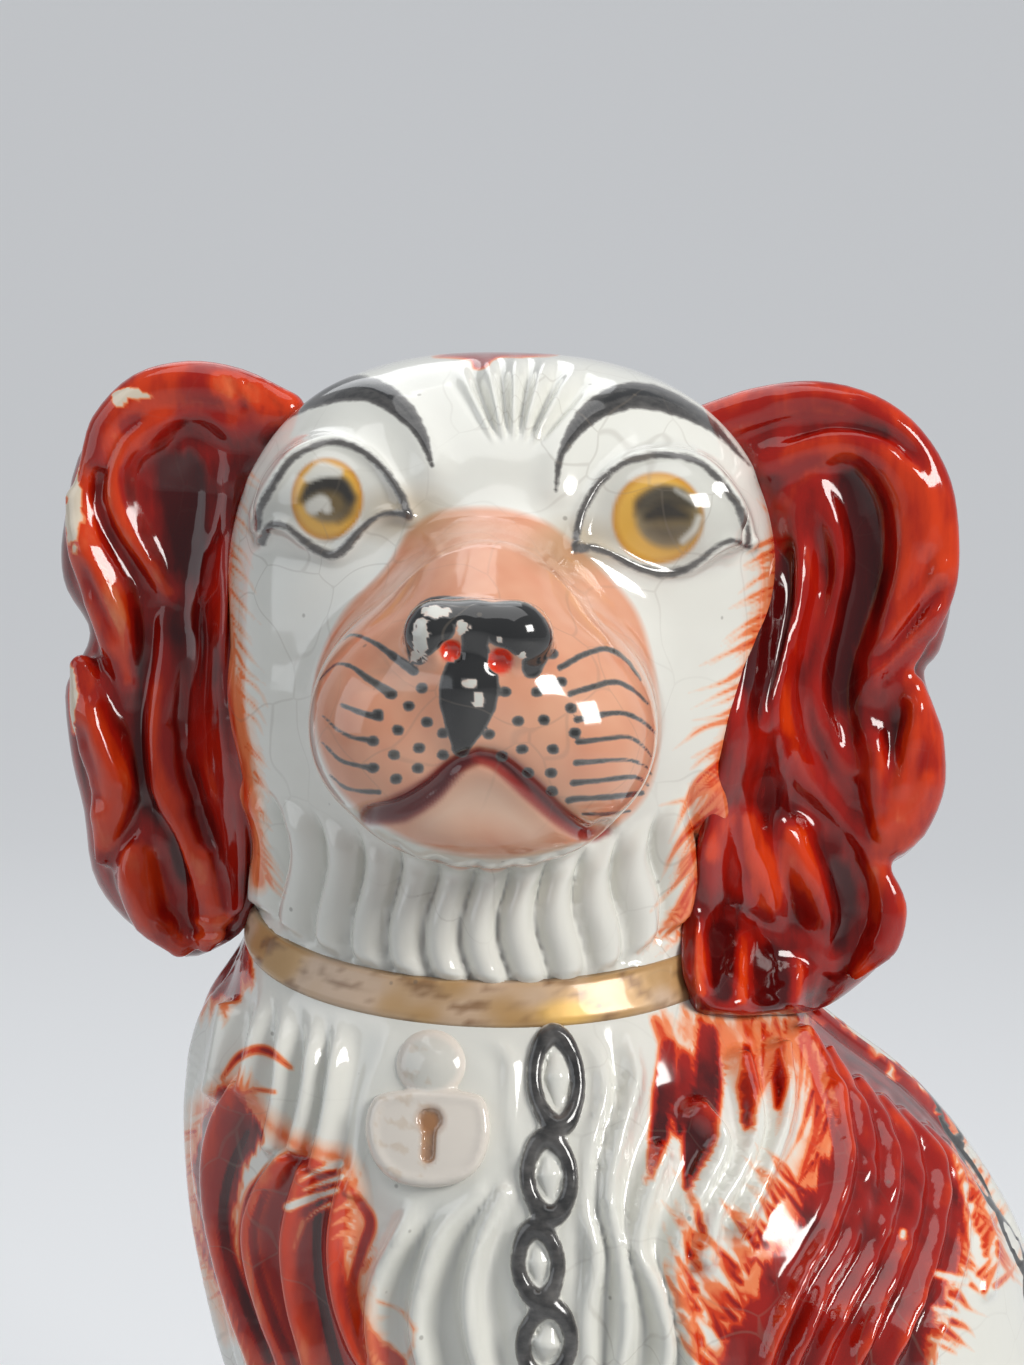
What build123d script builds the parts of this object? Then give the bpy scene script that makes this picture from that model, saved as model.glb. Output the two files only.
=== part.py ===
"""Seated spaniel mantel figure in glazed earthenware, built as the potter builds it.

Two hollow pressings meet at an upright mould seam and stand on a closing slab.
Ears, forelegs, tail, collar, padlock and chain are shaped apart and luted on.
Millimetres, +Z up. The face looks along -Y and the body points along -X.
The origin is on the floor, under the middle of the figure.
"""

import math
import os

from build123d import *

# Body: the three heights stack from the floor to the crown
shoulder_height = 200.0
neck_height = 40.0
head_height = 80.0
body_length = 170.0
body_depth = 132.0
wall = 5.0
slab_thickness = 6.0
vent_radius = 4.0
seam_back = 2.0

# Neck and head: the head stands ahead of the origin, over the chest
head_forward = 32.5
neck_width = 84.0
neck_depth = 88.0
head_width = 99.0
head_depth = 96.0

# Face
muzzle_width = 58.0
muzzle_height = 50.0
muzzle_length = 68.0
muzzle_proud = 32.0
bridge_root_width = 40.0
bridge_tip_width = 26.0
bridge_root_height = 36.0
bridge_tip_height = 19.0
nose_width = 24.0
nose_height = 15.0
nose_length = 14.0
eye_width = 29.0
eye_height = 23.0
eye_bulge = 20.0
eye_spacing = 54.5

# Hind quarters
haunch_length = 100.0
haunch_depth = 54.0
haunch_height = 112.0
haunch_back = 54.0
hind_paw_length = 54.0
hind_paw_width = 30.0
hind_paw_height = 27.0

# Ears
ear_length = 117.0
ear_width = 33.0
ear_depth = 20.0
ear_drop = 3.0
lock_width = 10.0
lock_tip_width = 3.0

# Forelegs and tail
leg_height = 150.0
leg_shoulder_width = 44.0
leg_ankle_width = 25.0
leg_spread = 62.0
paw_length = 42.0
paw_width = 32.0
paw_height = 26.0
tail_width = 22.0
tail_tip_width = 8.0

# Collar, padlock and chain: low reliefs that follow the neck and the chest
collar_width = 7.5
collar_tilt = 9.0
collar_relief = 2.0
collar_drop = 21.5
padlock_width = 20.0
padlock_height = 17.0
padlock_corner = 6.0
padlock_relief = 2.6
padlock_side = 4.0
shackle_width = 13.0
shackle_height = 14.0
keyhole_width = 4.0
keyhole_height = 6.0
link_width = 10.5
link_height = 15.6
link_band = 2.4
link_relief = 1.8
link_pitch = 15.0

# Body stations: share of shoulder_height, then centre and half length as shares
# of body_length, then half depth as a share of body_depth
torso_shares = (
    (0.0, 0.165, 0.470, 0.440),
    (0.125, 0.170, 0.488, 0.470),
    (0.300, 0.159, 0.500, 0.485),
    (0.500, 0.076, 0.488, 0.500),
    (0.700, -0.044, 0.450, 0.500),
    (0.825, -0.085, 0.440, 0.492),
    (0.930, -0.125, 0.405, 0.455),
    (1.000, -0.170, 0.340, 0.405),
)
# Neck stations: share of neck_height above the shoulder, then width and depth shares
neck_shares = (
    (0.40, 1.020, 1.020),
    (0.72, 1.000, 1.000),
)
# Head stations: share of head_height above the chin, then width and depth shares
head_shares = (
    (0.0, 0.890, 0.930),
    (0.200, 0.960, 0.980),
    (0.450, 1.000, 1.000),
    (0.675, 0.965, 0.940),
    (0.838, 0.820, 0.790),
    (0.938, 0.580, 0.560),
    (1.000, 0.160, 0.160),
)
# Ear stations: share of ear_length below the top, then the inner and the outer edge,
# each out from the side of the head as a share of ear_width and forward as a share
# of ear_depth, then the depth share; the left ear swings forward over the shoulder
left_ear_shares = (
    (0.004, -0.03, 0.15, 0.30, 0.15, 0.30),
    (0.043, -0.45, 0.15, 0.50, 0.15, 0.72),
    (0.120, -0.64, 0.15, 0.80, 0.15, 1.00),
    (0.231, -0.64, 0.15, 0.93, 0.15, 1.00),
    (0.333, -0.64, 0.15, 0.95, 0.15, 1.00),
    (0.419, -0.64, 0.20, 0.89, 0.15, 1.00),
    (0.470, -0.64, 0.30, 0.81, 0.20, 1.00),
    (0.573, -0.64, 0.50, 0.90, 0.20, 1.00),
    (0.658, -0.61, 0.90, 0.88, 0.20, 1.00),
    (0.735, -0.52, 1.20, 0.76, 0.25, 1.00),
    (0.778, -0.52, 1.40, 0.65, 0.30, 0.95),
    (0.846, -0.48, 1.60, 0.70, 0.30, 1.00),
    (0.906, -0.45, 1.70, 0.64, 0.35, 1.00),
    (0.957, -0.39, 1.70, 0.44, 0.45, 0.80),
    (0.997, -0.24, 1.55, 0.18, 0.75, 0.35),
)
right_ear_shares = (
    (0.006, 0.06, 0.15, 0.45, 0.15, 0.30),
    (0.043, -0.48, 0.15, 0.67, 0.15, 0.72),
    (0.128, -0.67, 0.15, 0.89, 0.15, 1.00),
    (0.231, -0.67, 0.15, 0.99, 0.15, 1.00),
    (0.308, -0.67, 0.15, 1.02, 0.15, 1.00),
    (0.376, -0.67, 0.15, 0.95, 0.15, 1.00),
    (0.427, -0.67, 0.15, 0.85, 0.15, 1.00),
    (0.521, -0.61, 0.15, 0.98, 0.15, 1.00),
    (0.624, -0.55, 0.15, 0.95, 0.15, 1.00),
    (0.718, -0.48, 0.15, 0.87, 0.15, 1.00),
    (0.812, -0.36, 0.15, 0.82, 0.15, 1.00),
    (0.872, -0.24, 0.15, 0.68, 0.15, 0.95),
    (0.910, -0.06, 0.15, 0.50, 0.15, 0.70),
    (0.940, 0.12, 0.15, 0.33, 0.15, 0.30),
)
# Locks on an ear, each a run of places: share of ear_length below the top and
# share of the way from the inner to the outer edge
left_lock_shares = (
    ((0.06, 0.34), (0.05, 0.66), (0.08, 0.92), (0.17, 0.95), (0.28, 0.93), (0.40, 0.88)),
    ((0.14, 0.41), (0.11, 0.68), (0.15, 0.84), (0.26, 0.83), (0.38, 0.77), (0.49, 0.72)),
    ((0.21, 0.48), (0.30, 0.50), (0.40, 0.46), (0.51, 0.44), (0.58, 0.48), (0.64, 0.61)),
    ((0.47, 0.93), (0.54, 0.93), (0.61, 0.92), (0.67, 0.89), (0.71, 0.85), (0.73, 0.79)),
    ((0.67, 0.32), (0.73, 0.37), (0.77, 0.50), (0.80, 0.62), (0.83, 0.67), (0.88, 0.65)),
    ((0.74, 0.87), (0.78, 0.96), (0.81, 0.96), (0.85, 0.94), (0.89, 0.89), (0.92, 0.82)),
)
right_lock_shares = (
    ((0.07, 0.23), (0.05, 0.38), (0.04, 0.59), (0.06, 0.78), (0.11, 0.85), (0.20, 0.87)),
    ((0.10, 0.46), (0.10, 0.71), (0.15, 0.79), (0.21, 0.76), (0.29, 0.67), (0.37, 0.58)),
    ((0.22, 0.89), (0.28, 0.83), (0.35, 0.80), (0.41, 0.80), (0.47, 0.76), (0.52, 0.70)),
    ((0.27, 0.40), (0.39, 0.47), (0.56, 0.47), (0.67, 0.44), (0.77, 0.33), (0.87, 0.25)),
    ((0.47, 0.91), (0.53, 0.83), (0.59, 0.79), (0.65, 0.77), (0.71, 0.80), (0.77, 0.86)),
    ((0.70, 0.65), (0.74, 0.69), (0.79, 0.69), (0.83, 0.66), (0.87, 0.61), (0.90, 0.50)),
)
# Fullness of a lock from its root to its tip
lock_fullness_shares = (0.55, 0.85, 1.00, 1.00, 0.70, 0.00)
lock_forward_share = 0.42
# Foreleg stations: share of leg_height, then the axis ahead of the origin as a
# share of body_length, then fullness from ankle to shoulder
leg_shares = (
    (0.0, 0.400, 0.10),
    (0.150, 0.388, 0.00),
    (0.500, 0.382, 0.14),
    (0.770, 0.355, 0.55),
    (1.000, 0.270, 1.00),
)
# Tail stations up the rump: share of shoulder_height, angle round the body from
# the rear towards the side that is shown, and fullness from tip to root
tail_shares = (
    (0.08, 2, 0.90),
    (0.20, 8, 1.00),
    (0.34, 16, 0.90),
    (0.48, 22, 0.70),
    (0.60, 22, 0.40),
    (0.68, 10, 0.00),
)
# Chain's run over chest and flank: shares of body_length and of shoulder_height
chain_shares = (
    (-0.106, 0.985),
    (-0.118, 0.900),
    (-0.112, 0.740),
    (-0.076, 0.630),
    (-0.012, 0.575),
    (0.076, 0.545),
    (0.170, 0.545),
    (0.247, 0.580),
)
# Places of small forms, as shares of the sizes that they follow
eye_height_share = 0.635
eye_depth_share = 0.375
muzzle_height_share = 0.235
bridge_root_share = 0.420
bridge_tip_share = 0.375
bridge_root_depth_share = 0.30
bridge_tip_depth_share = 0.86
nose_height_share = 0.27
nose_sink_share = 0.34
haunch_height_share = 0.53
haunch_sink_share = 0.44
hind_paw_side_share = 0.394
paw_forward_share = 0.22
paw_rise_share = 0.42
vent_place_share = 0.22

chin_height = shoulder_height + neck_height
crown_height = chin_height + head_height
muzzle_reach = head_depth / 2 + muzzle_proud
muzzle_z = chin_height + head_height * muzzle_height_share
seam = Plane.XZ.offset(-seam_back)
chest_plane = Plane.XZ.offset(head_depth)


def stations(inset):
    """Body ellipses from floor to crown, drawn in by inset: (z, x, half x, half y)."""
    rows = []
    for height, centre, half_length, half_depth in torso_shares:
        rows.append((
            shoulder_height * height,
            body_length * centre,
            body_length * half_length - inset,
            body_depth * half_depth - inset,
        ))
    for height, width, depth in neck_shares:
        rows.append((
            shoulder_height + neck_height * height,
            -head_forward,
            neck_width * width / 2 - inset,
            neck_depth * depth / 2 - inset,
        ))
    for height, width, depth in head_shares:
        rows.append((
            chin_height + (head_height - inset) * height,
            -head_forward,
            head_width * width / 2 - inset * (1 - height),
            head_depth * depth / 2 - inset * (1 - height),
        ))
    return rows


def body_form(inset):
    """Torso, neck and head as one smooth loft."""
    with BuildPart() as form:
        for z, x, half_x, half_y in stations(inset):
            with BuildSketch(Plane.XY.offset(z)):
                with Locations((x, 0)):
                    Ellipse(half_x, half_y)
        loft()
    return form.part


def body_place(height, angle):
    """A point on the torso at a share of its height, turned from the rear to the front."""
    for low, high in zip(torso_shares, torso_shares[1:]):
        if low[0] <= height <= high[0]:
            blend = (height - low[0]) / (high[0] - low[0])
            centre, half_length, half_depth = (
                near + (far - near) * blend for near, far in zip(low[1:], high[1:])
            )
    turn = math.radians(angle)
    return (
        body_length * (centre + half_length * math.cos(turn)),
        -body_depth * half_depth * math.sin(turn),
        shoulder_height * height,
    )


def ellipsoid(centre, length, depth, height):
    """A closed ellipsoid of those full sizes along X, Y and Z."""
    with BuildPart() as form:
        Sphere(1)
        scale(by=(length / 2, depth / 2, height / 2))
    return form.part.moved(Location(centre))


def tapered_tube(points, widths, across):
    """A round tube through points, as wide at each as widths says."""
    path = Spline(*points)
    with BuildPart() as form:
        for place, width in enumerate(widths):
            share = place / (len(widths) - 1)
            with BuildSketch(Plane(origin=path @ share, x_dir=across, z_dir=path % share)):
                Circle(width / 2)
        loft()
    return form.part


def muzzle_form(inset):
    """The round muzzle that stands out from the face."""
    return ellipsoid(
        (-head_forward, muzzle_length / 2 - muzzle_reach, muzzle_z),
        muzzle_width - 2 * inset,
        muzzle_length - 2 * inset,
        muzzle_height - 2 * inset,
    )


def bridge_form():
    """The nose bridge, tapering from between the eyes to the nose."""
    with BuildPart() as form:
        for depth, rise, width, height in (
            (bridge_root_depth_share, bridge_root_share, bridge_root_width, bridge_root_height),
            (bridge_tip_depth_share, bridge_tip_share, bridge_tip_width, bridge_tip_height),
        ):
            with BuildSketch(Plane.XZ.offset(muzzle_reach * depth)):
                with Locations((-head_forward, chin_height + head_height * rise)):
                    Ellipse(width / 2, height / 2)
        loft()
    return form.part


def haunch_form(side, inset):
    """One thigh, swelling from its flank."""
    return ellipsoid(
        (
            haunch_back,
            side * (body_depth / 2 - haunch_depth * haunch_sink_share),
            haunch_height * haunch_height_share,
        ),
        haunch_length - 2 * inset,
        haunch_depth - 2 * inset,
        haunch_height - 2 * inset,
    )


def eye_form(side):
    """One full eyeball under its lids."""
    return ellipsoid(
        (
            side * eye_spacing / 2 - head_forward,
            -head_depth * eye_depth_share,
            chin_height + head_height * eye_height_share,
        ),
        eye_width,
        eye_bulge,
        eye_height,
    )


def paw_form(x, y, length, width, height):
    """One paw over the floor, its underside still round."""
    return ellipsoid((x, y, height * paw_rise_share), length, width, height)


body_outer = body_form(0)

# The figure's whole outside, before it is parted into pressings
with BuildPart() as figure:
    add(body_outer)
    add(muzzle_form(0))
    add(bridge_form())
    add(ellipsoid(
        (
            -head_forward,
            nose_length * nose_sink_share - muzzle_reach,
            muzzle_z + muzzle_height * nose_height_share,
        ),
        nose_width,
        nose_length,
        nose_height,
    ))
    for side in (-1, 1):
        add(eye_form(side))
        add(haunch_form(side, 0))
        paw_y = side * body_depth * hind_paw_side_share
        add(paw_form(0, paw_y, hind_paw_length, hind_paw_width, hind_paw_height))
    split(bisect_by=Plane.XY, keep=Keep.TOP)

# The hollow that the pressings close round
with BuildPart() as hollow:
    add(body_form(wall))
    add(muzzle_form(wall))
    for side in (-1, 1):
        add(haunch_form(side, wall))

# Closing slab under the two pressings, with the vent that lets the kiln's gas out
with BuildPart() as base_slab:
    add(figure.part)
    split(bisect_by=Plane.XY.offset(slab_thickness), keep=Keep.BOTTOM)
    with Locations((body_length * vent_place_share, 0, 0)):
        Hole(vent_radius)

# Front pressing: the face, the chest and the flank that is shown
with BuildPart() as front_shell:
    add(figure.part)
    add(hollow.part, mode=Mode.SUBTRACT)
    split(bisect_by=Plane.XY.offset(slab_thickness), keep=Keep.TOP)
    split(bisect_by=seam, keep=Keep.TOP)

# Back pressing: the nape, the spine and the flank that stands to the wall
with BuildPart() as back_shell:
    add(figure.part)
    add(hollow.part, mode=Mode.SUBTRACT)
    split(bisect_by=Plane.XY.offset(slab_thickness), keep=Keep.TOP)
    split(bisect_by=seam, keep=Keep.BOTTOM)

# Collar: a band of the neck, one relief proud of it, tilted down to the front
collar_z = chin_height - collar_drop
tilt = math.radians(collar_tilt)
collar_plane = Plane(
    origin=(-head_forward, 0, collar_z),
    x_dir=(1, 0, 0),
    z_dir=(0, -math.sin(tilt), math.cos(tilt)),
)
with BuildPart() as collar:
    with BuildSketch(collar_plane.offset(-collar_width / 2)):
        Circle(head_width)
    extrude(amount=collar_width)
    add(body_form(-collar_relief), mode=Mode.INTERSECT)
    add(body_outer, mode=Mode.SUBTRACT)


def ear_edges(rows, side):
    """Inner and outer edges of an ear from its top down: (z, inner, outer, depth)."""
    edges = []
    for drop, inner, inner_forward, outer, outer_forward, depth in rows:
        near = Vector(
            side * (head_width / 2 + ear_width * inner) - head_forward, -ear_depth * inner_forward
        )
        far = Vector(
            side * (head_width / 2 + ear_width * outer) - head_forward, -ear_depth * outer_forward
        )
        edges.append((crown_height - ear_drop - ear_length * drop, near, far, ear_depth * depth))
    return edges


def lock_place(edges, drop, across):
    """A lock's place on an ear's front at a share of the length and of the width."""
    z = crown_height - ear_drop - ear_length * drop
    for high, low in zip(edges, edges[1:]):
        if low[0] <= z <= high[0]:
            blend = (high[0] - z) / (high[0] - low[0])
            near = high[1] + (low[1] - high[1]) * blend
            far = high[2] + (low[2] - high[2]) * blend
            spot = near + (far - near) * across
            return (spot.X, spot.Y - ear_depth * lock_forward_share, z)
    raise ValueError("the lock's place is above or below the ear")


def ear_form(rows, locks, side):
    """One hanging ear: a waisted flat core under six waved locks."""
    edges = ear_edges(rows, side)
    widths = [
        lock_tip_width + (lock_width - lock_tip_width) * fullness
        for fullness in lock_fullness_shares
    ]
    with BuildPart() as form:
        for z, near, far, depth in edges:
            run = far - near
            with BuildSketch(Plane.XY.offset(z)):
                with Locations(Location((near + far) / 2, math.degrees(math.atan2(run.Y, run.X)))):
                    SlotOverall(run.length, depth)
        loft()
        for lock in locks:
            points = [lock_place(edges, drop, across) for drop, across in lock]
            add(tapered_tube(points, widths, (0, 1, 0)))
        add(figure.part, mode=Mode.SUBTRACT)
        add(collar.part, mode=Mode.SUBTRACT)
    return form.part


def leg_form(side):
    """One straight foreleg with its paw, cut to the chest that it is luted to."""
    leg_y = side * leg_spread / 2
    with BuildPart() as form:
        for height, ahead, fullness in leg_shares:
            width = leg_ankle_width + (leg_shoulder_width - leg_ankle_width) * fullness
            with BuildSketch(Plane.XY.offset(leg_height * height)):
                with Locations((-body_length * ahead, leg_y)):
                    Circle(width / 2)
        loft()
        paw_x = -body_length * leg_shares[0][1] - paw_length * paw_forward_share
        add(paw_form(paw_x, leg_y, paw_length, paw_width, paw_height))
        split(bisect_by=Plane.XY, keep=Keep.TOP)
        add(figure.part, mode=Mode.SUBTRACT)
    return form.part


left_ear = ear_form(left_ear_shares, left_lock_shares, 1)
right_ear = ear_form(right_ear_shares, right_lock_shares, -1)
left_foreleg = leg_form(-1)
right_foreleg = leg_form(1)

# Tail, curled up the rump towards the side that is shown
with BuildPart() as tail:
    add(tapered_tube(
        [body_place(height, angle) for height, angle, fullness in tail_shares],
        [
            tail_tip_width + (tail_width - tail_tip_width) * fullness
            for height, angle, fullness in tail_shares
        ],
        (1, 0, 0),
    ))
    add(figure.part, mode=Mode.SUBTRACT)

# Padlock: lock plate, shackle and keyhole, hanging from the front of the collar
collar_front_z = collar_z - math.tan(tilt) * neck_depth / 2 - collar_width / 2
shackle_z = collar_front_z - shackle_height / 2
padlock_x = -head_forward - padlock_side
padlock_z = collar_front_z - shackle_height / 2 - padlock_height / 2
with BuildPart() as padlock:
    with BuildSketch(chest_plane):
        with Locations((padlock_x, padlock_z)):
            RectangleRounded(padlock_width, padlock_height, padlock_corner)
            Ellipse(keyhole_width / 2, keyhole_height / 2, mode=Mode.SUBTRACT)
        with Locations((padlock_x, shackle_z)):
            Ellipse(shackle_width / 2, shackle_height / 2)
    extrude(amount=-head_depth)
    add(body_form(-padlock_relief), mode=Mode.INTERSECT)
    add(figure.part, mode=Mode.SUBTRACT)
    add(collar.part, mode=Mode.SUBTRACT)

# Chain: linked rings from the collar down the chest and round the flank
chain_path = Spline(*[
    (body_length * along, shoulder_height * height) for along, height in chain_shares
])
link_count = round(chain_path.length / link_pitch) + 1
with BuildPart() as chain_links:
    with BuildSketch(chest_plane):
        for hole in (False, True):
            trim = link_band if hole else 0
            for number in range(link_count):
                share = number / (link_count - 1)
                run = chain_path % share
                place = Location(chain_path @ share, math.degrees(math.atan2(run.Y, run.X)))
                with Locations(place):
                    Ellipse(
                        link_height / 2 - trim,
                        link_width / 2 - trim,
                        mode=Mode.SUBTRACT if hole else Mode.ADD,
                    )
    extrude(amount=-head_depth)
    add(body_form(-link_relief), mode=Mode.INTERSECT)
    add(figure.part, mode=Mode.SUBTRACT)
    add(collar.part, mode=Mode.SUBTRACT)

os.makedirs("parts", exist_ok=True)
front_shell.part.label = "front_shell"
export_step(front_shell.part, "parts/front_shell.step")
back_shell.part.label = "back_shell"
export_step(back_shell.part, "parts/back_shell.step")
base_slab.part.label = "base_slab"
export_step(base_slab.part, "parts/base_slab.step")
left_ear.label = "left_ear"
export_step(left_ear, "parts/left_ear.step")
right_ear.label = "right_ear"
export_step(right_ear, "parts/right_ear.step")
left_foreleg.label = "left_foreleg"
export_step(left_foreleg, "parts/left_foreleg.step")
right_foreleg.label = "right_foreleg"
export_step(right_foreleg, "parts/right_foreleg.step")
tail.part.label = "tail"
export_step(tail.part, "parts/tail.step")
collar.part.label = "collar"
export_step(collar.part, "parts/collar.step")
padlock.part.label = "padlock"
export_step(padlock.part, "parts/padlock.step")
chain_links.part.label = "chain_links"
export_step(chain_links.part, "parts/chain_links.step")
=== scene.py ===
"""Seated earthenware spaniel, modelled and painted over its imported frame.

Forms are smooth distance fields in millimetres, cut into one closed mesh for each
of the potter's pieces. Hair, lids and ribs are relief on those meshes, and the
enamel colours are painted on their points and read by procedural glazes.
"""
import logging
import math
from dataclasses import dataclass, field
from enum import Enum
from typing import Callable, Sequence

import bmesh
import bpy
import numpy as np
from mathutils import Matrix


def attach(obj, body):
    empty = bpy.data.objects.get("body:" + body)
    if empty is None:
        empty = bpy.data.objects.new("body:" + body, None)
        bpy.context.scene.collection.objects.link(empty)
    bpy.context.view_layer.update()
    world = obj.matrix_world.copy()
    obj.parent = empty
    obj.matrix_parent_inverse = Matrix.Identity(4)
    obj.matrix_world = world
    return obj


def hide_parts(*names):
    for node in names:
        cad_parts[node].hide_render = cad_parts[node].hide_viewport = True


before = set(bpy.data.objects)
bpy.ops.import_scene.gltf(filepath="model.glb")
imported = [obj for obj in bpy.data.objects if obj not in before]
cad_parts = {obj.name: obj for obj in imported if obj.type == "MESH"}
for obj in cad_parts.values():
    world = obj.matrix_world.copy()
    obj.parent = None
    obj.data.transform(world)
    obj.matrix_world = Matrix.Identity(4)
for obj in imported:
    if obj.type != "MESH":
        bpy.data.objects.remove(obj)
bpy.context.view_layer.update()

import openvdb
from mathutils import Matrix

LOG = logging.getLogger("spaniel")
MM = 0.001
BODY = "root"
FAR = 1.0e3
Array = np.ndarray
Pixels = Sequence[tuple[float, float]]
Place = tuple[float, float, float]
Lump = tuple[Place, Place, float]
Disc = tuple[float, float, float]
Oval = tuple[float, float, float, float]
Tint = tuple[float, ...]
Stroke = tuple[Pixels, tuple[float, ...], float]


class Enamel(Enum):
    """Colours of the painter's palette and of the painted shade and highlights, as display red, green
    and blue.
    """

    CREAM = (0.87, 0.87, 0.84)
    RED = (0.60, 0.08, 0.03)
    BRIGHT_RED = (0.80, 0.22, 0.05)
    DARK_RED = (0.26, 0.02, 0.02)
    ORANGE = (0.90, 0.50, 0.31)
    WASH = (0.93, 0.71, 0.56)
    FLESH = (0.88, 0.65, 0.52)
    FLESH_DEEP = (0.80, 0.50, 0.37)
    BLACK = (0.15, 0.15, 0.15)
    GREY = (0.42, 0.41, 0.40)
    YELLOW = (0.87, 0.68, 0.28)
    AMBER = (0.74, 0.50, 0.16)
    SMOKE = (0.52, 0.48, 0.38)
    OLIVE = (0.38, 0.31, 0.17)
    CHIN = (0.91, 0.77, 0.67)
    # eye white and other bare white, also used for the painted highlights in the eyes
    WHITE_AND_HIGHLIGHT = (0.80, 0.80, 0.77)
    NOSTRIL = (0.88, 0.20, 0.07)
    LIP = (0.58, 0.13, 0.10)
    LIP_DARK = (0.38, 0.07, 0.08)
    # grey-brown painted shade for the inner corners of the eyes
    EYE_CORNER_SHADE = (0.62, 0.52, 0.36)
    GILT = (0.71, 0.56, 0.36)
    GILT_DARK = (0.50, 0.36, 0.22)
    ROSE = (0.78, 0.68, 0.59)
    # bright gold for a painted highlight on the collar
    GILT_HIGHLIGHT = (0.93, 0.74, 0.36)
    BISCUIT = (0.86, 0.81, 0.73)
    BLUSH = (0.87, 0.84, 0.80)
    KEY = (0.62, 0.43, 0.27)

    def linear(self) -> Array:
        """The colour as scene-linear red, green and blue."""
        shown = np.array(self.value)
        return np.where(shown <= 0.04045, shown / 12.92, ((shown + 0.055) / 1.055) ** 2.4)


def seat(axes: Sequence[Array], place: Sequence[float]) -> Matrix:
    """A pose from right, up and backward directions and a place in metres.

    Args:
        axes: the three directions.
        place: the place.

    Returns:
        The pose.
    """
    pose = Matrix.Identity(4)
    for row in range(3):
        for column in range(3):
            pose[row][column] = axes[column][row]
        pose[row][3] = place[row]
    return pose


@dataclass(frozen=True)
class PhotoCamera:
    """The camera that took the picture, worked out in the figure's frame.

    Lengths are millimetres, angles degrees, and the picture is in pixels.
    """

    focal: float = 2100.0
    picture: tuple[float, float] = (1024.0, 1365.0)
    azimuth: float = 5.0
    elevation: float = 4.0
    roll: float = 1.2
    target: Place = (-31.0, 0.0, 260.0)
    distance: float = 388.0
    sensor: float = 36.0
    clip_start: float = 0.01

    def axes(self) -> Array:
        """Rows of right, up and backward directions.

        Returns:
            Three unit directions.
        """
        az, el, roll = (math.radians(a) for a in (self.azimuth, self.elevation, self.roll))
        back = np.array([math.sin(az) * math.cos(el), -math.cos(az) * math.cos(el), math.sin(el)])
        right = np.array([math.cos(az), math.sin(az), 0.0])
        up = np.cross(back, right)
        turned = right * math.cos(roll) + up * math.sin(roll)
        return np.array([turned, up * math.cos(roll) - right * math.sin(roll), back])

    def position(self) -> Array:
        """Where the lens stands."""
        return np.array(self.target) + self.axes()[2] * self.distance

    def project(self, points: Array) -> tuple[Array, Array]:
        """Picture places of points.

        Args:
            points: places in the figure's frame, one a row.

        Returns:
            The pixel columns and the pixel rows.
        """
        seen = (points - self.position()) @ self.axes().T
        scale = self.focal / -seen[:, 2]
        return self.picture[0] / 2 + seen[:, 0] * scale, self.picture[1] / 2 - seen[:, 1] * scale

    def spots(self, points: Array) -> Array:
        """Picture places of points, a column and a row for each."""
        return np.stack(self.project(points), 1)

    def lift(self, pixels: Pixels, depth: float) -> Array:
        """Points on the upright plane y = depth that lie behind pixels.

        Args:
            pixels: picture places.
            depth: the plane's y.

        Returns:
            One place a row.
        """
        right, up, back = self.axes()
        spots = np.asarray(pixels, float)
        across = (spots[:, :1] - self.picture[0] / 2) / self.focal
        down = (spots[:, 1:2] - self.picture[1] / 2) / self.focal
        rays = right * across - up * down - back
        start = self.position()
        return start + rays * ((depth - start[1]) / rays[:, 1:2])

    def build(self) -> None:
        """Make the scene's camera."""
        data = bpy.data.cameras.new("picture_camera")
        data.sensor_width = self.sensor
        data.lens = self.focal * self.sensor / self.picture[1]
        data.clip_start = self.clip_start
        camera = bpy.data.objects.new("picture_camera", data)
        camera.matrix_world = seat(self.axes(), self.position() * MM)
        bpy.context.collection.objects.link(camera)
        bpy.context.scene.camera = camera


CAMERA = PhotoCamera()


def smoothstep(low: float, high: float, value: Array) -> Array:
    """A soft step from 0 at low to 1 at high."""
    share = np.clip((value - low) / (high - low), 0.0, 1.0)
    return share * share * (3.0 - 2.0 * share)


def curve_through(points: Sequence[Sequence[float]], steps: int = 6) -> Array:
    """A smooth run through given points.

    Args:
        points: places in any number of dimensions.
        steps: pieces between one place and the next.

    Returns:
        Places along the run, one a row.
    """
    knots = np.asarray(points, float)
    padded = np.vstack([2 * knots[0] - knots[1], knots, 2 * knots[-1] - knots[-2]])
    runs = []
    for before, start, end, after in zip(padded, padded[1:], padded[2:], padded[3:]):
        t = (np.arange(steps) / steps)[:, None]
        runs.append(
            0.5 * (2 * start + (end - before) * t
                   + (2 * before - 5 * start + 4 * end - after) * t ** 2
                   + (3 * start - before - 3 * end + after) * t ** 3)
        )
    return np.vstack(runs + [knots[-1:]])


def line_distance(points: Array, line: Array) -> tuple[Array, Array]:
    """Distance from points to a run of straight pieces.

    Args:
        points: places, one a row.
        line: the run's places, one a row.

    Returns:
        The distance, and how far along the run the nearest place is, from 0 to 1.
    """
    lengths = np.linalg.norm(np.diff(line, axis=0), axis=1)
    ends = np.concatenate([[0.0], np.cumsum(lengths)])
    total = max(ends[-1], 1e-9)
    best = np.full(len(points), np.inf)
    along = np.zeros(len(points))
    for number, length in enumerate(lengths):
        if length <= 0.0:
            continue
        run = line[number + 1] - line[number]
        share = np.clip((points - line[number]) @ run / length ** 2, 0.0, 1.0)
        gap = points - line[number] - share[:, None] * run
        reach = np.einsum("ij,ij->i", gap, gap)
        closer = reach < best
        best = np.where(closer, reach, best)
        along = np.where(closer, (ends[number] + share * length) / total, along)
    return np.sqrt(best), along


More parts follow.
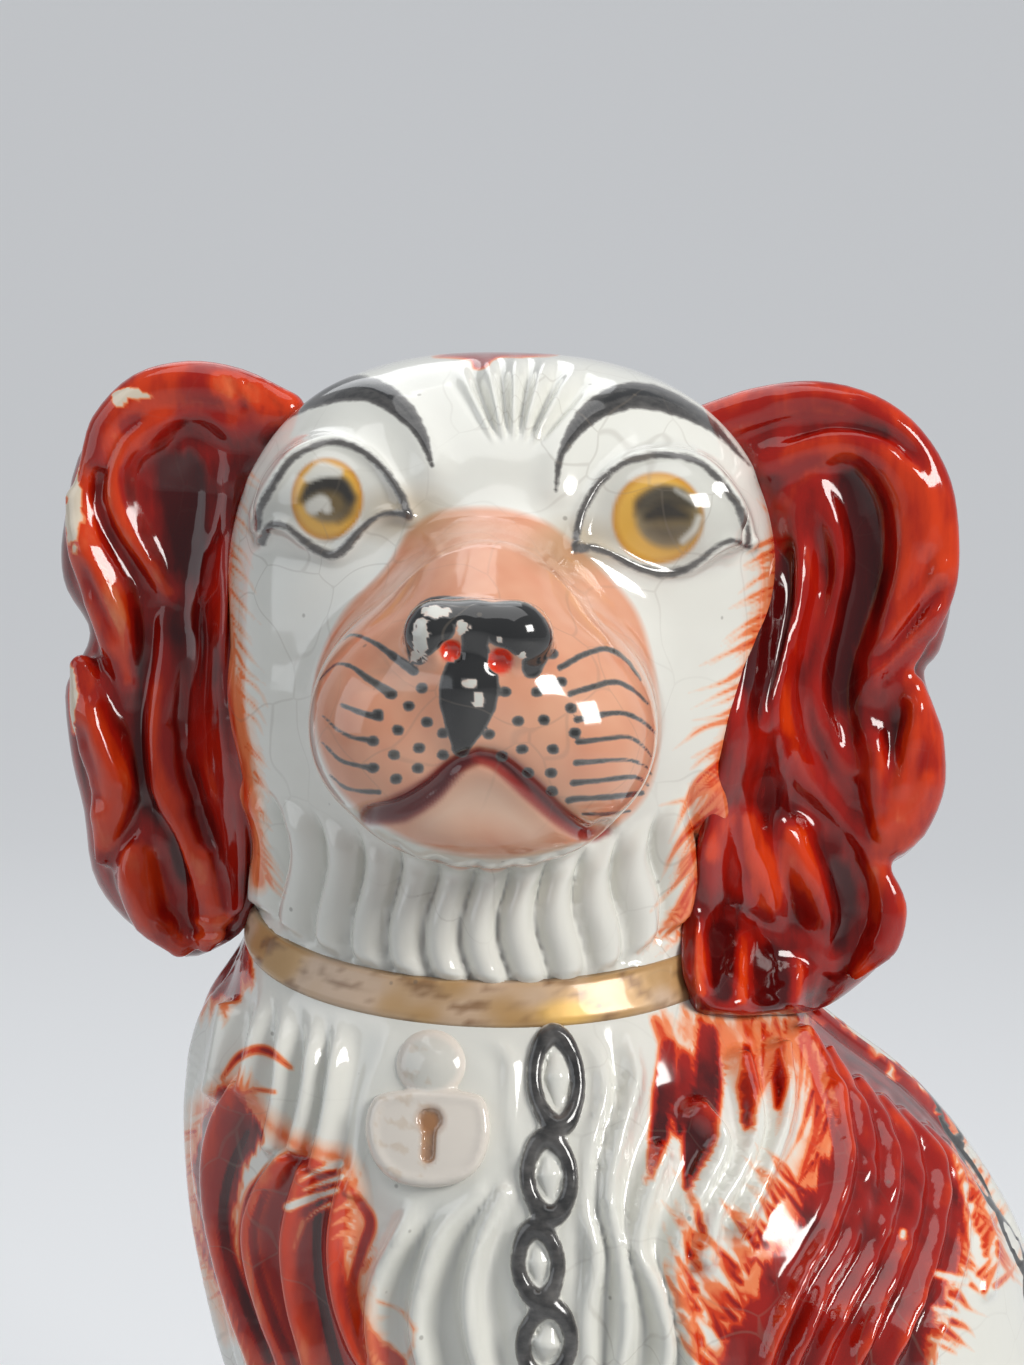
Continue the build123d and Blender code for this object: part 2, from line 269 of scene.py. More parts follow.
def outline_distance(points: Array, outline: Array) -> Array:
    """Signed distance from points to a closed outline in the plane, negative inside.

    Args:
        points: places in the plane, one a row.
        outline: its corners.

    Returns:
        One distance a place.
    """
    closed = np.vstack([outline, outline[:1]])
    reach, _ = line_distance(points, closed)
    inside = np.zeros(len(points), bool)
    for (x0, y0), (x1, y1) in zip(closed, closed[1:]):
        if y0 != y1:
            crosses = (points[:, 1] < y0) != (points[:, 1] < y1)
            inside ^= crosses & (points[:, 0] < (x1 - x0) * (points[:, 1] - y0) / (y1 - y0) + x0)
    return np.where(inside, -reach, reach)


def near_run(spots: Array, line: Array, reach: float) -> Array:
    """Indices of the picture places that lie in a run's box, grown by a reach."""
    inside = (spots > line.min(0) - reach) & (spots < line.max(0) + reach)
    return np.flatnonzero(np.all(inside, axis=1))


def run_on(lines: Sequence[Pixels]) -> list[Pixels]:
    """Picture lines, with those that leave the picture's foot carried on below it.

    Args:
        lines: the lines, in pixels.

    Returns:
        The lines, in the same order.
    """
    foot, steps = 1330.0, ((8.0, 90.0), (-4.0, 180.0))
    return [
        (*line, *((line[-1][0] + across, line[-1][1] + down) for across, down in steps))
        if line[-1][1] > foot else line for line in lines
    ]


def wave_noise(points: Array, size: float, seed: int, octaves: int = 3) -> Array:
    """Smooth repeatable noise from crossed waves, about -1 to 1.

    Args:
        points: places, one a row.
        size: length of the largest waves.
        seed: which pattern.
        octaves: how many finer layers are added.

    Returns:
        One value a place.
    """
    draw = np.random.default_rng(seed)
    total = np.zeros(len(points))
    strength = 1.0
    for _ in range(octaves):
        for _ in range(4):
            turn = draw.normal(size=points.shape[1])
            turn *= 2 * math.pi / (size * np.linalg.norm(turn))
            total += strength * np.sin(points @ turn + draw.uniform(0, 2 * math.pi)) / 2.0
        size /= 2.1
        strength *= 0.55
    return total / 1.6


@dataclass
class Form:
    """One smooth lump of clay, or one tool mark where cut is set.

    Args:
        distance: signed distance of places, in millimetres.
        low, high: corners of the space that it reaches.
        blend: how widely it runs into its neighbours.
        cut: taken away instead of added.
    """

    distance: Callable[[Array], Array]
    low: Array
    high: Array
    blend: float
    cut: bool = False


@dataclass
class Clay:
    """A field of lumps and tool marks, joined in order.

    Args:
        forms: the lumps and marks.
        margin: how far from a form its distance is worked out.
        ray_start: how far from the camera rays begin to look for the clay.
        ray_rounds: how many steps they take.
        ray_share: how much of the distance they go at a step.
        ray_limits: the shortest and longest step before that.
        settle_limit: the longest move of a place onto the surface.
        block: how many cells a side the coarse search takes at once.
    """

    forms: list[Form] = field(default_factory=list)
    margin: float = 9.0
    ray_start: float = 290.0
    ray_rounds: int = 40
    ray_share: float = 0.8
    ray_limits: tuple[float, float] = (-5.0, 12.0)
    settle_limit: float = 2.0
    block: int = 4

    def lump(self, centre: Sequence[float], half: Sequence[float], blend: float = 4.0,
             cut: bool = False) -> None:
        """Add an ellipsoid.

        Args:
            centre: its middle.
            half: its half sizes.
            blend: how widely it runs into the rest.
            cut: take it away instead.
        """
        middle, size = np.asarray(centre, float), np.asarray(half, float)

        def distance(points: Array) -> Array:
            """Distance to the ellipsoid.

            Args:
                points: places, one a row.

            Returns:
                One distance a place.
            """
            scaled = (points - middle) / size
            reach = np.sqrt(np.einsum("ij,ij->i", scaled, scaled)) + 1e-9
            slope = np.sqrt(np.einsum("ij,ij->i", scaled / size, scaled / size)) + 1e-9
            return reach * (reach - 1.0) / slope

        self.forms.append(Form(distance, middle - size, middle + size, blend, cut))

    def tube(self, line: Array, widths: Sequence[float], blend: float = 3.0, cut: bool = False,
             flat: float = 1.0) -> None:
        """Add a round tapering run.

        Args:
            line: places along it.
            widths: radii spread evenly along it.
            blend: how widely it runs into the rest.
            cut: take it away instead.
            flat: how far it is flattened from front to back.
        """
        widest = max(widths)
        squash = np.array([1.0, 1.0 / flat, 1.0])
        knots = np.linspace(0.0, 1.0, len(widths))

        def distance(points: Array) -> Array:
            """Distance to the run."""
            reach, along = line_distance(points * squash, line * squash)
            return reach - np.interp(along, knots, widths)

        reach = np.array([widest, widest * flat, widest])
        self.forms.append(Form(distance, line.min(0) - reach, line.max(0) + reach, blend, cut))

    def solid(self, distance: Callable[[Array], Array], low: Sequence[float],
              high: Sequence[float], blend: float = 4.0, cut: bool = False) -> None:
        """Add or cut a form given by its own distance, between two corners."""
        self.forms.append(Form(distance, np.asarray(low, float), np.asarray(high, float), blend, cut))

    def corners(self) -> tuple[Array, Array]:
        """Lowest and highest corner of the space that the forms reach."""
        low = np.min([form.low for form in self.forms], axis=0)
        return low, np.max([form.high for form in self.forms], axis=0)

    def at(self, points: Array) -> Array:
        """Signed distance of places to the joined clay.

        Args:
            points: places, one a row.

        Returns:
            One distance a place, negative inside.
        """
        total = np.full(len(points), FAR)
        for form in self.forms:
            pad = self.margin + form.blend
            near = np.all((points > form.low - pad) & (points < form.high + pad), axis=1)
            if not near.any():
                continue
            old, new = total[near], form.distance(points[near])
            sign = -1.0 if form.cut else 1.0
            a, b = sign * old, new
            share = np.clip(0.5 + 0.5 * (b - a) / form.blend, 0.0, 1.0)
            total[near] = sign * (b + (a - b) * share - form.blend * share * (1.0 - share))
        return total

    def slope(self, points: Array, step: float = 0.2) -> Array:
        """Outward unit directions at places.

        Args:
            points: places, one a row.
            step: how far apart it is measured.

        Returns:
            One direction a row.
        """
        grown = np.stack(
            [self.at(points + step * axis) - self.at(points - step * axis) for axis in np.eye(3)], 1
        )
        return grown / (np.linalg.norm(grown, axis=1, keepdims=True) + 1e-9)

    def meet(self, pixels: Pixels) -> Array:
        """Places where the camera's rays through pixels first meet the clay.

        Args:
            pixels: picture places.

        Returns:
            One place a row.
        """
        start = CAMERA.position()
        rays = CAMERA.lift(pixels, 0.0) - start
        rays /= np.linalg.norm(rays, axis=1, keepdims=True)
        gone = np.full(len(rays), self.ray_start)
        for _ in range(self.ray_rounds):
            step = np.clip(self.at(start + rays * gone[:, None]), *self.ray_limits)
            gone += self.ray_share * step
        return start + rays * gone[:, None]

    def settle(self, points: Array, rounds: int = 2) -> Array:
        """Move places onto the surface.

        Args:
            points: places, one a row.
            rounds: how many moves.

        Returns:
            The moved places.
        """
        limit = self.settle_limit
        for _ in range(rounds):
            points = points - np.clip(self.at(points), -limit, limit)[:, None] * self.slope(points)
        return points

    def skin(self, low: Sequence[float], high: Sequence[float], step: float) -> tuple[Array, Array]:
        """The clay's surface between two corners.

        Args:
            low, high: corners of the space.
            step: size of a cell.

        Returns:
            Places and four-sided faces.
        """
        start = np.asarray(low, float)
        coarse = self.block
        count = np.ceil((np.asarray(high, float) - start) / step / coarse).astype(int)
        centres = [start[a] + (np.arange(count[a]) + 0.5) * coarse * step for a in range(3)]
        rough = self.at(np.stack(np.meshgrid(*centres, indexing="ij"), -1).reshape(-1, 3))
        near = np.abs(rough) < coarse * step * 1.6
        values = np.where(rough > 0, FAR, -FAR).reshape(count)
        for axis in range(3):
            values = np.repeat(values, coarse, axis)
        blocks = np.argwhere(near.reshape(count))
        cell = np.stack(np.meshgrid(*[np.arange(coarse)] * 3, indexing="ij"), -1).reshape(-1, 3)
        fine = (blocks[:, None, :] * coarse + cell[None]).reshape(-1, 3)
        values[fine[:, 0], fine[:, 1], fine[:, 2]] = self.at(start + (fine + 0.5) * step)
        limit = 3.0 * step
        grid = openvdb.FloatGrid(limit)
        grid.copyFromArray(np.clip(values, -limit, limit).astype(np.float32))
        points, quads = grid.convertToQuads(0.0)
        return start + (points + 0.5) * step, quads


class Wiring:
    """Short ways of adding nodes to one tree."""

    def __init__(self, tree: bpy.types.NodeTree) -> None:
        """Take the tree that nodes are added to."""
        self.tree = tree

    def feed(self, node: bpy.types.Node, inputs: dict[str | int, object]) -> None:
        """Link a socket to each of a node's inputs, or set a value on it.

        Args:
            node: the node.
            inputs: sockets and values, by the input's name or number.
        """
        for name, value in inputs.items():
            if isinstance(value, bpy.types.NodeSocket):
                self.tree.links.new(value, node.inputs[name])
            else:
                node.inputs[name].default_value = value

    def add(self, kind: str, inputs: dict[str | int, object], **settings: str) -> bpy.types.Node:
        """Add one node.

        Args:
            kind: its type, without the word that shader nodes begin with.
            inputs: sockets and values, by the input's name or number.
            settings: the node's own settings.

        Returns:
            The new node.
        """
        node = self.tree.nodes.new(f"ShaderNode{kind}")
        for name, value in settings.items():
            setattr(node, name, value)
        self.feed(node, inputs)
        return node

    def painted(self, name: str, output: str = "Fac") -> bpy.types.NodeSocket:
        """What was painted on the points under a name."""
        return self.add("Attribute", {}, attribute_name=name).outputs[output]

    def place(self) -> bpy.types.NodeSocket:
        """Places in the piece's own space."""
        return self.add("TexCoord", {}).outputs["Object"]

    def noise(self, scale: float, detail: float, stretch: tuple[float, ...] = (1.0, 1.0, 1.0),
              output: str = "Fac") -> bpy.types.NodeSocket:
        """A noise texture in the piece's own space.

        Args:
            scale: how fine it is.
            detail: how many finer layers it has.
            stretch: how its axes are scaled.
            output: its value or its colour.

        Returns:
            The texture's socket.
        """
        pull = self.add("Mapping", {"Vector": self.place(), "Scale": stretch}).outputs["Vector"]
        made = self.add("TexNoise", {"Vector": pull, "Scale": scale, "Detail": detail})
        return made.outputs[output]

    def ramp(self, source: bpy.types.NodeSocket, low: float, high: float, start: float,
             end: float) -> bpy.types.NodeSocket:
        """Map a value from one range to another."""
        return self.add("MapRange", {"Value": source, "From Min": low, "From Max": high,
                                     "To Min": start, "To Max": end}).outputs["Result"]

    def maths(self, operation: str, *terms: object) -> bpy.types.NodeSocket:
        """One sum of sockets and numbers."""
        return self.add("Math", dict(enumerate(terms)), operation=operation).outputs["Value"]

    def mix(self, under: object, over: object, share: object,
            kind: str = "RGBA") -> bpy.types.NodeSocket:
        """Mix one colour or vector towards another by a share."""
        return self.add("Mix", {"Factor": share, "A": under, "B": over},
                        data_type=kind).outputs["Result"]

    def enamel(self, under: bpy.types.NodeSocket, name: str,
               grains: Sequence[tuple[bpy.types.NodeSocket, float]],
               stops: Sequence[tuple[float, Enamel]]) -> bpy.types.NodeSocket:
        """Lay one enamel over a colour, thin where its field is low.

        Args:
            under: what lies under it.
            name: the field that says how thick it is.
            grains: noises that make it uneven, and how far each changes its thickness.
            stops: thicknesses and the colours that they show.

        Returns:
            The joined colour.
        """
        depth = self.painted(name)
        for grain, ragged in grains:
            depth = self.maths("ADD", depth, self.ramp(grain, 0.3, 0.7, -ragged, ragged))
        tone = self.add("ValToRGB", {"Fac": depth})
        tone.color_ramp.interpolation = "EASE"
        for number, (thick, tint) in enumerate(stops):
            stop = (tone.color_ramp.elements[number] if number < 2
                    else tone.color_ramp.elements.new(thick))
            stop.position = thick
            stop.color = (*tint.linear(), 1.0)
        thinnest = stops[0][0]
        cover = self.ramp(depth, thinnest - 0.10, thinnest + 0.12, 0.0, 1.0)
        return self.mix(under, tone.outputs["Color"], cover)


@dataclass(frozen=True)
class Glaze:
    """A fired glaze: gloss, crazing, specks and slight unevenness over painted colour.

    Args:
        name: the material's name.
        rough: roughness where the glaze is whole.
        worn_rough: roughness where enamel or gilding is worn.
        metallic: how metallic the layer is where it isn't worn.
        crazing: strength of the fine cracks.
        specks: strength of the kiln specks.
        uneven: depth of the surface's waviness.
        coat: weight of the clear layer on top.
        shine: the glaze's specular level.
        coat_rough: roughness of the clear layer.
        bump: height of the surface's waves, in metres.
        shade, crack, speck: colours of mottling, of cracks and of specks.
        red, black: thicknesses of the two enamels and the colours that they show.
    """

    name: str
    rough: float = 0.10
    worn_rough: float = 0.38
    metallic: float = 0.0
    crazing: float = 0.22
    specks: float = 0.5
    uneven: float = 0.12
    coat: float = 0.35
    shine: float = 0.5
    coat_rough: float = 0.05
    bump: float = 0.0008
    shade: Tint = (0.45, 0.40, 0.33, 1.0)
    crack: Tint = (0.22, 0.18, 0.14, 1.0)
    speck: Tint = (0.12, 0.10, 0.08, 1.0)
    red: tuple[tuple[float, Enamel], ...] = (
        (0.20, Enamel.WASH), (0.38, Enamel.ORANGE), (0.54, Enamel.BRIGHT_RED),
        (0.73, Enamel.RED), (1.0, Enamel.DARK_RED))
    black: tuple[tuple[float, Enamel], ...] = ((0.36, Enamel.GREY), (0.90, Enamel.BLACK))

    def material(self) -> bpy.types.Material:
        """Build the node material.

        Returns:
            The material.
        """
        made = bpy.data.materials.new(self.name)
        made.use_nodes = True
        wiring = Wiring(made.node_tree)
        shader = made.node_tree.nodes["Principled BSDF"]
        wear = wiring.painted("wear")
        mottle = wiring.ramp(wiring.noise(90.0, 4.0), 0.35, 0.75, 0.0, 0.07)
        colour = wiring.mix(wiring.painted("paint", "Color"), self.shade, mottle)
        streaks = ((wiring.noise(300.0, 4.0, (1.0, 1.0, 0.3)), 0.05),
                   (wiring.noise(75.0, 4.0, (1.0, 1.0, 0.4)), 0.06))
        colour = wiring.enamel(colour, "red", streaks, self.red)
        grain = wiring.noise(500.0, 4.0, (1.0, 1.0, 2.0))
        colour = wiring.enamel(colour, "black", ((grain, 0.07),), self.black)
        stray = wiring.noise(35.0, 2.0, output="Color")
        bent = wiring.mix(wiring.place(), stray, 0.02, "VECTOR")
        cells = wiring.add("TexVoronoi", {"Scale": 62.0, "Vector": bent}, feature="DISTANCE_TO_EDGE")
        cracks = wiring.ramp(cells.outputs["Distance"], 0.004, 0.016, self.crazing, 0.0)
        patchy = wiring.ramp(wiring.noise(22.0, 1.0), 0.42, 0.62, 0.0, 1.0)
        colour = wiring.mix(colour, self.crack, wiring.maths("MULTIPLY", cracks, patchy))
        dots = wiring.add("TexVoronoi", {"Scale": 110.0, "Vector": wiring.place()})
        dots = wiring.ramp(dots.outputs["Distance"], 0.03, 0.055, self.specks, 0.0)
        waves = wiring.add("Bump", {"Strength": self.uneven, "Distance": self.bump,
                                    "Height": wiring.noise(140.0, 2.0)})
        wiring.feed(shader, {
            "Base Color": wiring.mix(colour, self.speck, dots),
            "Roughness": wiring.ramp(wear, 0.0, 1.0, self.rough, self.worn_rough),
            "Specular IOR Level": self.shine, "Coat Weight": self.coat,
            "Coat Roughness": self.coat_rough, "Normal": waves.outputs["Normal"]})
        if self.metallic > 0.0:
            wiring.feed(shader, {"Metallic": wiring.ramp(wear, 0.0, 1.0, self.metallic, 0.0)})
        return made


class Palette:
    """Paint being laid on the points of one piece."""

    def __init__(self, points: Array, base: Enamel) -> None:
        """Start with one colour all over.

        Args:
            points: the piece's points.
            base: the first colour.
        """
        self.points = points
        self.colour = np.tile(base.linear(), (len(points), 1))
        self.fields = {name: np.zeros(len(points)) for name in ("red", "black", "wear")}
        self.px, self.py = CAMERA.project(points)
        self.spots = np.stack([self.px, self.py], 1)

    def lay(self, tint: Enamel, amount: Array, where: Array | None = None) -> None:
        """Mix a colour in.

        Args:
            tint: the colour.
            amount: how much, from 0 to 1.
            where: indices of the points that amount belongs to, or all.
        """
        share = np.clip(amount, 0.0, 1.0)[:, None]
        rows = slice(None) if where is None else where
        self.colour[rows] = self.colour[rows] * (1.0 - share) + tint.linear() * share

    def thicken(self, name: str, amount: Array, where: Array | None = None) -> None:
        """Lay an enamel where it is thicker than what is there.

        Args:
            name: the enamel's field.
            amount: how thick it is.
            where: indices of the points that amount belongs to, or all.
        """
        rows = slice(None) if where is None else where
        self.fields[name][rows] = np.maximum(self.fields[name][rows], amount)

    def stroke(self, name: str | Enamel, pixels: Pixels, widths: Sequence[float], mask: Array,
               strength: float = 1.0, soft: float = 6.0, fade: float = 0.0) -> None:
        """Draw one stroke through picture places.

        Args:
            name: the enamel's field, or a colour to be mixed in.
            pixels: places along the stroke.
            widths: full widths in pixels, spread evenly along it.
            mask: which points may take paint, from 0 to 1.
            strength: how thick the enamel is.
            soft: width of the stroke's soft edge.
            fade: how much thinner the enamel is at the stroke's end.
        """
        line = curve_through(pixels)
        rows = near_run(self.spots, line, max(widths) / 2 + soft)
        if not len(rows):
            return
        reach, along = line_distance(self.spots[rows], line)
        half = np.interp(along, np.linspace(0.0, 1.0, len(widths)), widths) / 2
        amount = strength * np.clip((half - reach) / soft + 0.45, 0.0, 1.0) * mask[rows]
        amount = amount * (1.0 - fade * along)
        if isinstance(name, Enamel):
            self.lay(name, amount, rows)
        else:
            self.thicken(name, amount, rows)

    def glow(self, tint: Enamel, centre: tuple[float, float], half: tuple[float, float],
             mask: Array, strength: float = 1.0, soft: float = 0.08) -> None:
        """Mix a colour into an oval of the picture.

        Args:
            tint: the colour.
            centre: the oval's middle.
            half: its half sizes.
            mask: which points may take it.
            strength: how dense it is.
            soft: width of its edge, as a share of its size.
        """
        reach = np.hypot((self.px - centre[0]) / half[0], (self.py - centre[1]) / half[1])
        self.lay(tint, strength * mask * np.clip((1.0 - reach) / soft + 0.5, 0.0, 1.0))

    def patch(self, outline: Pixels, soft: float, ragged: float = 0.0) -> Array:
        """How far each point's picture place lies in an outline.

        Args:
            outline: the edge, in pixels.
            soft: width of the soft edge.
            ragged: how far the edge strays along the hair.

        Returns:
            One share from 0 to 1 a point.
        """
        shape = curve_through(list(outline) + [outline[0]])
        rows = near_run(self.spots, shape, 2 * soft + ragged)
        amount = np.zeros(len(self.points))
        edge = outline_distance(self.spots[rows], shape[:-1])
        if ragged > 0.0:
            edge = edge + ragged * wave_noise(self.spots[rows] * np.array([1.0, 0.22]), 13.0, 19)
        amount[rows] = np.clip(0.5 - edge / soft, 0.0, 1.0)
        return amount


def raw_mesh(name: str, points: Array, faces: Sequence) -> bpy.types.Mesh:
    """A mesh from places in millimetres and faces of place numbers.

    Args:
        name: the mesh's name.
        points: the places.
        faces: the faces.

    Returns:
        The mesh.
    """
    mesh = bpy.data.meshes.new(name)
    mesh.from_pydata((points * MM).tolist(), [], np.asarray(faces).tolist())
    return mesh


def slice_flat(cut: bmesh.types.BMesh, place: Sequence[float],
               outward: Sequence[float]) -> list[bmesh.types.BMEdge]:
    """Cut away what lies beyond a plane.

    Args:
        cut: the mesh being edited.
        place: a place on the plane, in millimetres.
        outward: the direction that is cut away.

    Returns:
        The sharp open rim that the cut leaves.
    """
    everything = cut.verts[:] + cut.edges[:] + cut.faces[:]
    bmesh.ops.bisect_plane(cut, geom=everything, plane_co=[value * MM for value in place],
                           plane_no=outward, clear_outer=True)
    rim = [edge for edge in cut.edges if edge.is_boundary]
    for edge in rim:
        edge.smooth = False
    return rim


def dress(name: str, mesh: bpy.types.Mesh, paint: Palette, finish: Glaze,
          nodes: Sequence[str]) -> None:
    """Put paint and glaze on a mesh and seat it in the frame.

    Args:
        name: the piece's name.
        mesh: its mesh.
        paint: its painted colours.
        finish: its glaze.
        nodes: the solids that it stands for.
    """
    mesh.validate()
    mesh.polygons.foreach_set("use_smooth", np.ones(len(mesh.polygons), bool))
    colour = mesh.attributes.new("paint", "FLOAT_COLOR", "POINT")
    full = np.ones((len(paint.colour), 4), np.float32)
    full[:, :3] = paint.colour
    colour.data.foreach_set("color", full.ravel())
    for field_name, values in paint.fields.items():
        layer = mesh.attributes.new(field_name, "FLOAT", "POINT")
        layer.data.foreach_set("value", values.astype(np.float32))
    mesh.materials.append(finish.material())
    piece = bpy.data.objects.new(f"glazed_{name}", mesh)
    bpy.context.collection.objects.link(piece)
    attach(piece, BODY)
    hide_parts(*nodes)
    LOG.info("%s: %d points, %d faces", name, len(mesh.vertices), len(mesh.polygons))


def mesh_points(mesh: bpy.types.Mesh) -> Array:
    """A mesh's points in millimetres, one a row.

    Args:
        mesh: the mesh.

    Returns:
        The points.
    """
    flat = np.empty(len(mesh.vertices) * 3)
    mesh.vertices.foreach_get("co", flat)
    return flat.reshape(-1, 3) / MM


@dataclass(frozen=True)
class FaceMarks:
    """Where the painter and the mould maker put the face, in picture pixels."""

    brows: tuple[Pixels, ...] = (
        ((243, 474), (251, 452), (274, 423), (297, 406), (327, 393), (358, 388), (381, 394),
         (404, 411), (422, 436), (432, 466)),
        ((556, 490), (562, 452), (588, 415), (620, 398), (645, 396), (675, 405), (712, 426),
         (750, 466)),
    )
    brow_widths: tuple[tuple[float, ...], ...] = (
        (4, 6, 11, 18, 24, 27, 26, 22, 13, 5), (5, 10, 22, 29, 27, 19, 9, 3))
    upper_lids: tuple[Pixels, ...] = (
        ((258, 528), (259, 512), (270, 490), (290, 461), (312, 447), (335, 442), (358, 449),
         (381, 467), (399, 492), (409, 516)),
        ((575, 545), (582, 513), (600, 482), (625, 463), (650, 456), (680, 456), (706, 467),
         (730, 494), (742, 515), (748, 540)),
    )
    lower_lids: tuple[Pixels, ...] = (
        ((262, 541), (270, 526), (287, 527), (306, 542), (320, 551), (333, 555), (345, 548),
         (358, 533), (373, 519), (388, 513), (408, 515)),
        ((576, 548), (595, 548), (615, 556), (640, 568), (664, 573), (689, 568), (714, 549),
         (731, 541), (749, 546)),
    )
    irises: tuple[Oval, ...] = (
        (327, 499, 36, 41), (658, 518, 46, 46))
    pupils: tuple[Oval, ...] = (
        (328, 497, 25, 25), (668, 516, 33, 31))
    pupil_strokes: tuple[Stroke, ...] = (
        (((302, 500), (312, 488), (326, 483), (341, 486), (350, 498)), (8, 16, 18, 18, 12), 0.95),
        (((351, 498), (349, 511), (339, 521)), (12, 12, 6), 0.62),
        (((642, 504), (664, 497), (690, 504)), (16, 20, 12), 0.75),
        (((648, 516), (664, 511), (686, 516)), (12, 20, 8), 0.90),
        (((650, 531), (668, 533), (684, 529)), (8, 12, 6), 0.35),
        (((636, 514), (641, 498), (658, 489), (682, 492)), (4, 7, 7, 4), 0.70),
    )
    # painted highlights on the eyes; the second mark, on the left pupil, is also a chip in the black
    eye_highlights_and_chip: tuple[Stroke, ...] = (
        (((308, 478), (322, 470), (338, 472)), (9, 17, 10), 0.95),
        (((313, 507), (322, 503), (327, 509)), (16, 17, 10), 0.95),
        (((699, 518), (694, 530), (683, 541)), (7, 7, 7), 0.75),
        (((676, 490), (695, 502)), (4, 5), 0.55),
    )
    chips: tuple[Oval, ...] = (
        (421, 636, 8, 22), (437, 612, 15, 7), (463, 627, 7, 7), (523, 655, 4, 4), (470, 684, 8, 5),
        (479, 701, 6, 9), (416, 655, 5, 8), (500, 640, 3, 3))
    flesh: Pixels = (
        (409, 530), (440, 512), (494, 508), (540, 520), (566, 537), (600, 568), (636, 612),
        (653, 668), (659, 735), (646, 795), (601, 834), (540, 852), (490, 857), (440, 850),
        (400, 835), (355, 806), (328, 769), (315, 721), (319, 667), (345, 611), (385, 570))
    nose: tuple[tuple[Pixels, tuple[float, ...]], ...] = (
        (((418, 655), (416, 630), (432, 612), (462, 612), (490, 618), (520, 620), (538, 640),
          (532, 668)), (20, 24, 28, 30, 32, 36, 30, 20)),
        (((476, 625), (474, 655), (470, 682), (468, 700), (466, 718), (463, 735), (461, 748)),
         (32, 26, 52, 60, 56, 40, 18)),
        (((440, 628), (425, 645)), (30, 22)),
        (((500, 632), (528, 645)), (28, 28)),
    )
    nose_lumps: tuple[tuple[tuple[float, float], Place], ...] = (
        ((437, 634), (5.0, 6.0, 5.2)), ((515, 636), (5.8, 6.0, 5.4)), ((476, 628), (6.5, 5.5, 4.4)),
        ((466, 712), (3.6, 3.2, 5.2)))
    nose_depth: float = -75.0
    nostrils: tuple[Disc, ...] = ((451, 651, 11), (500, 661, 13))
    mouth: tuple[Pixels, ...] = (
        ((370, 815), (400, 808), (430, 790), (455, 766), (478, 756)),
        ((478, 756), (500, 763), (530, 788), (560, 816), (588, 834), (606, 831)),
    )
    mouth_widths: tuple[tuple[float, ...], ...] = ((16, 26, 24, 18, 10), (10, 18, 20, 17, 14, 5))
    whiskers: tuple[tuple[Pixels, tuple[float, ...]], ...] = (
        (((414, 671), (392, 655), (371, 641), (350, 635), (334, 648)), (13, 11, 7, 4, 3)),
        (((392, 694), (370, 680), (350, 666), (335, 665), (319, 680)), (14, 10, 7, 4, 3)),
        (((380, 718), (362, 713), (342, 705)), (10, 8, 6)),
        (((373, 740), (355, 738), (338, 730), (322, 715)), (9, 6, 5, 3)),
        (((373, 768), (355, 765), (339, 759), (322, 742)), (9, 6, 5, 3)),
        (((379, 792), (360, 791), (344, 787), (330, 775)), (8, 6, 5, 3)),
        (((560, 668), (583, 655), (607, 649), (626, 660), (641, 680)), (9, 8, 8, 6, 4)),
        (((570, 694), (592, 687), (615, 682), (633, 690), (648, 704)), (9, 8, 8, 6, 4)),
        (((577, 720), (600, 715), (622, 713), (640, 720), (656, 733)), (9, 8, 7, 6, 4)),
        (((578, 742), (605, 739), (628, 737), (643, 746), (652, 757)), (8, 7, 7, 5, 3)),
        (((576, 763), (603, 761), (628, 760), (645, 766), (651, 774)), (9, 7, 6, 5, 3)),
        (((573, 783), (605, 780), (635, 777), (648, 785)), (9, 7, 7, 4)),
        (((568, 801), (578, 799), (610, 797), (642, 793)), (9, 8, 8, 7)),
        (((583, 814), (605, 814), (630, 811)), (4, 5, 4)),
    )
    dots: Pixels = (
        (422, 688), (409, 706), (427, 722), (398, 730), (419, 748), (394, 755), (418, 768),
        (396, 779), (443, 755), (443, 733), (378, 714), (373, 741), (373, 768), (505, 692),
        (537, 692), (561, 682), (571, 708), (575, 733), (518, 721), (544, 720), (553, 749),
        (522, 749), (489, 734), (502, 756), (528, 773), (551, 773), (552, 791), (530, 673),
        (552, 654), (391, 694))
    philtrum: Pixels = ((468, 690), (463, 735))
    chin: Pixels = ((430, 822), (480, 800), (530, 830))
    fan_centre: tuple[float, float] = (512, 478)
    middle: float = 490
    crown_red: Pixels = (
        (432, 357), (470, 346), (530, 346), (558, 354), (525, 357), (498, 358), (484, 368),
        (474, 368), (468, 360))
    jaw: Pixels = (
        (225, 780), (300, 812), (360, 838), (440, 866), (520, 870), (600, 852), (655, 822),
        (705, 775))
    ribs_end: Pixels = (
        (238, 893), (300, 937), (350, 960), (420, 977), (500, 985), (560, 982), (620, 965),
        (665, 935), (700, 912))
    rib_step: float = 39.0
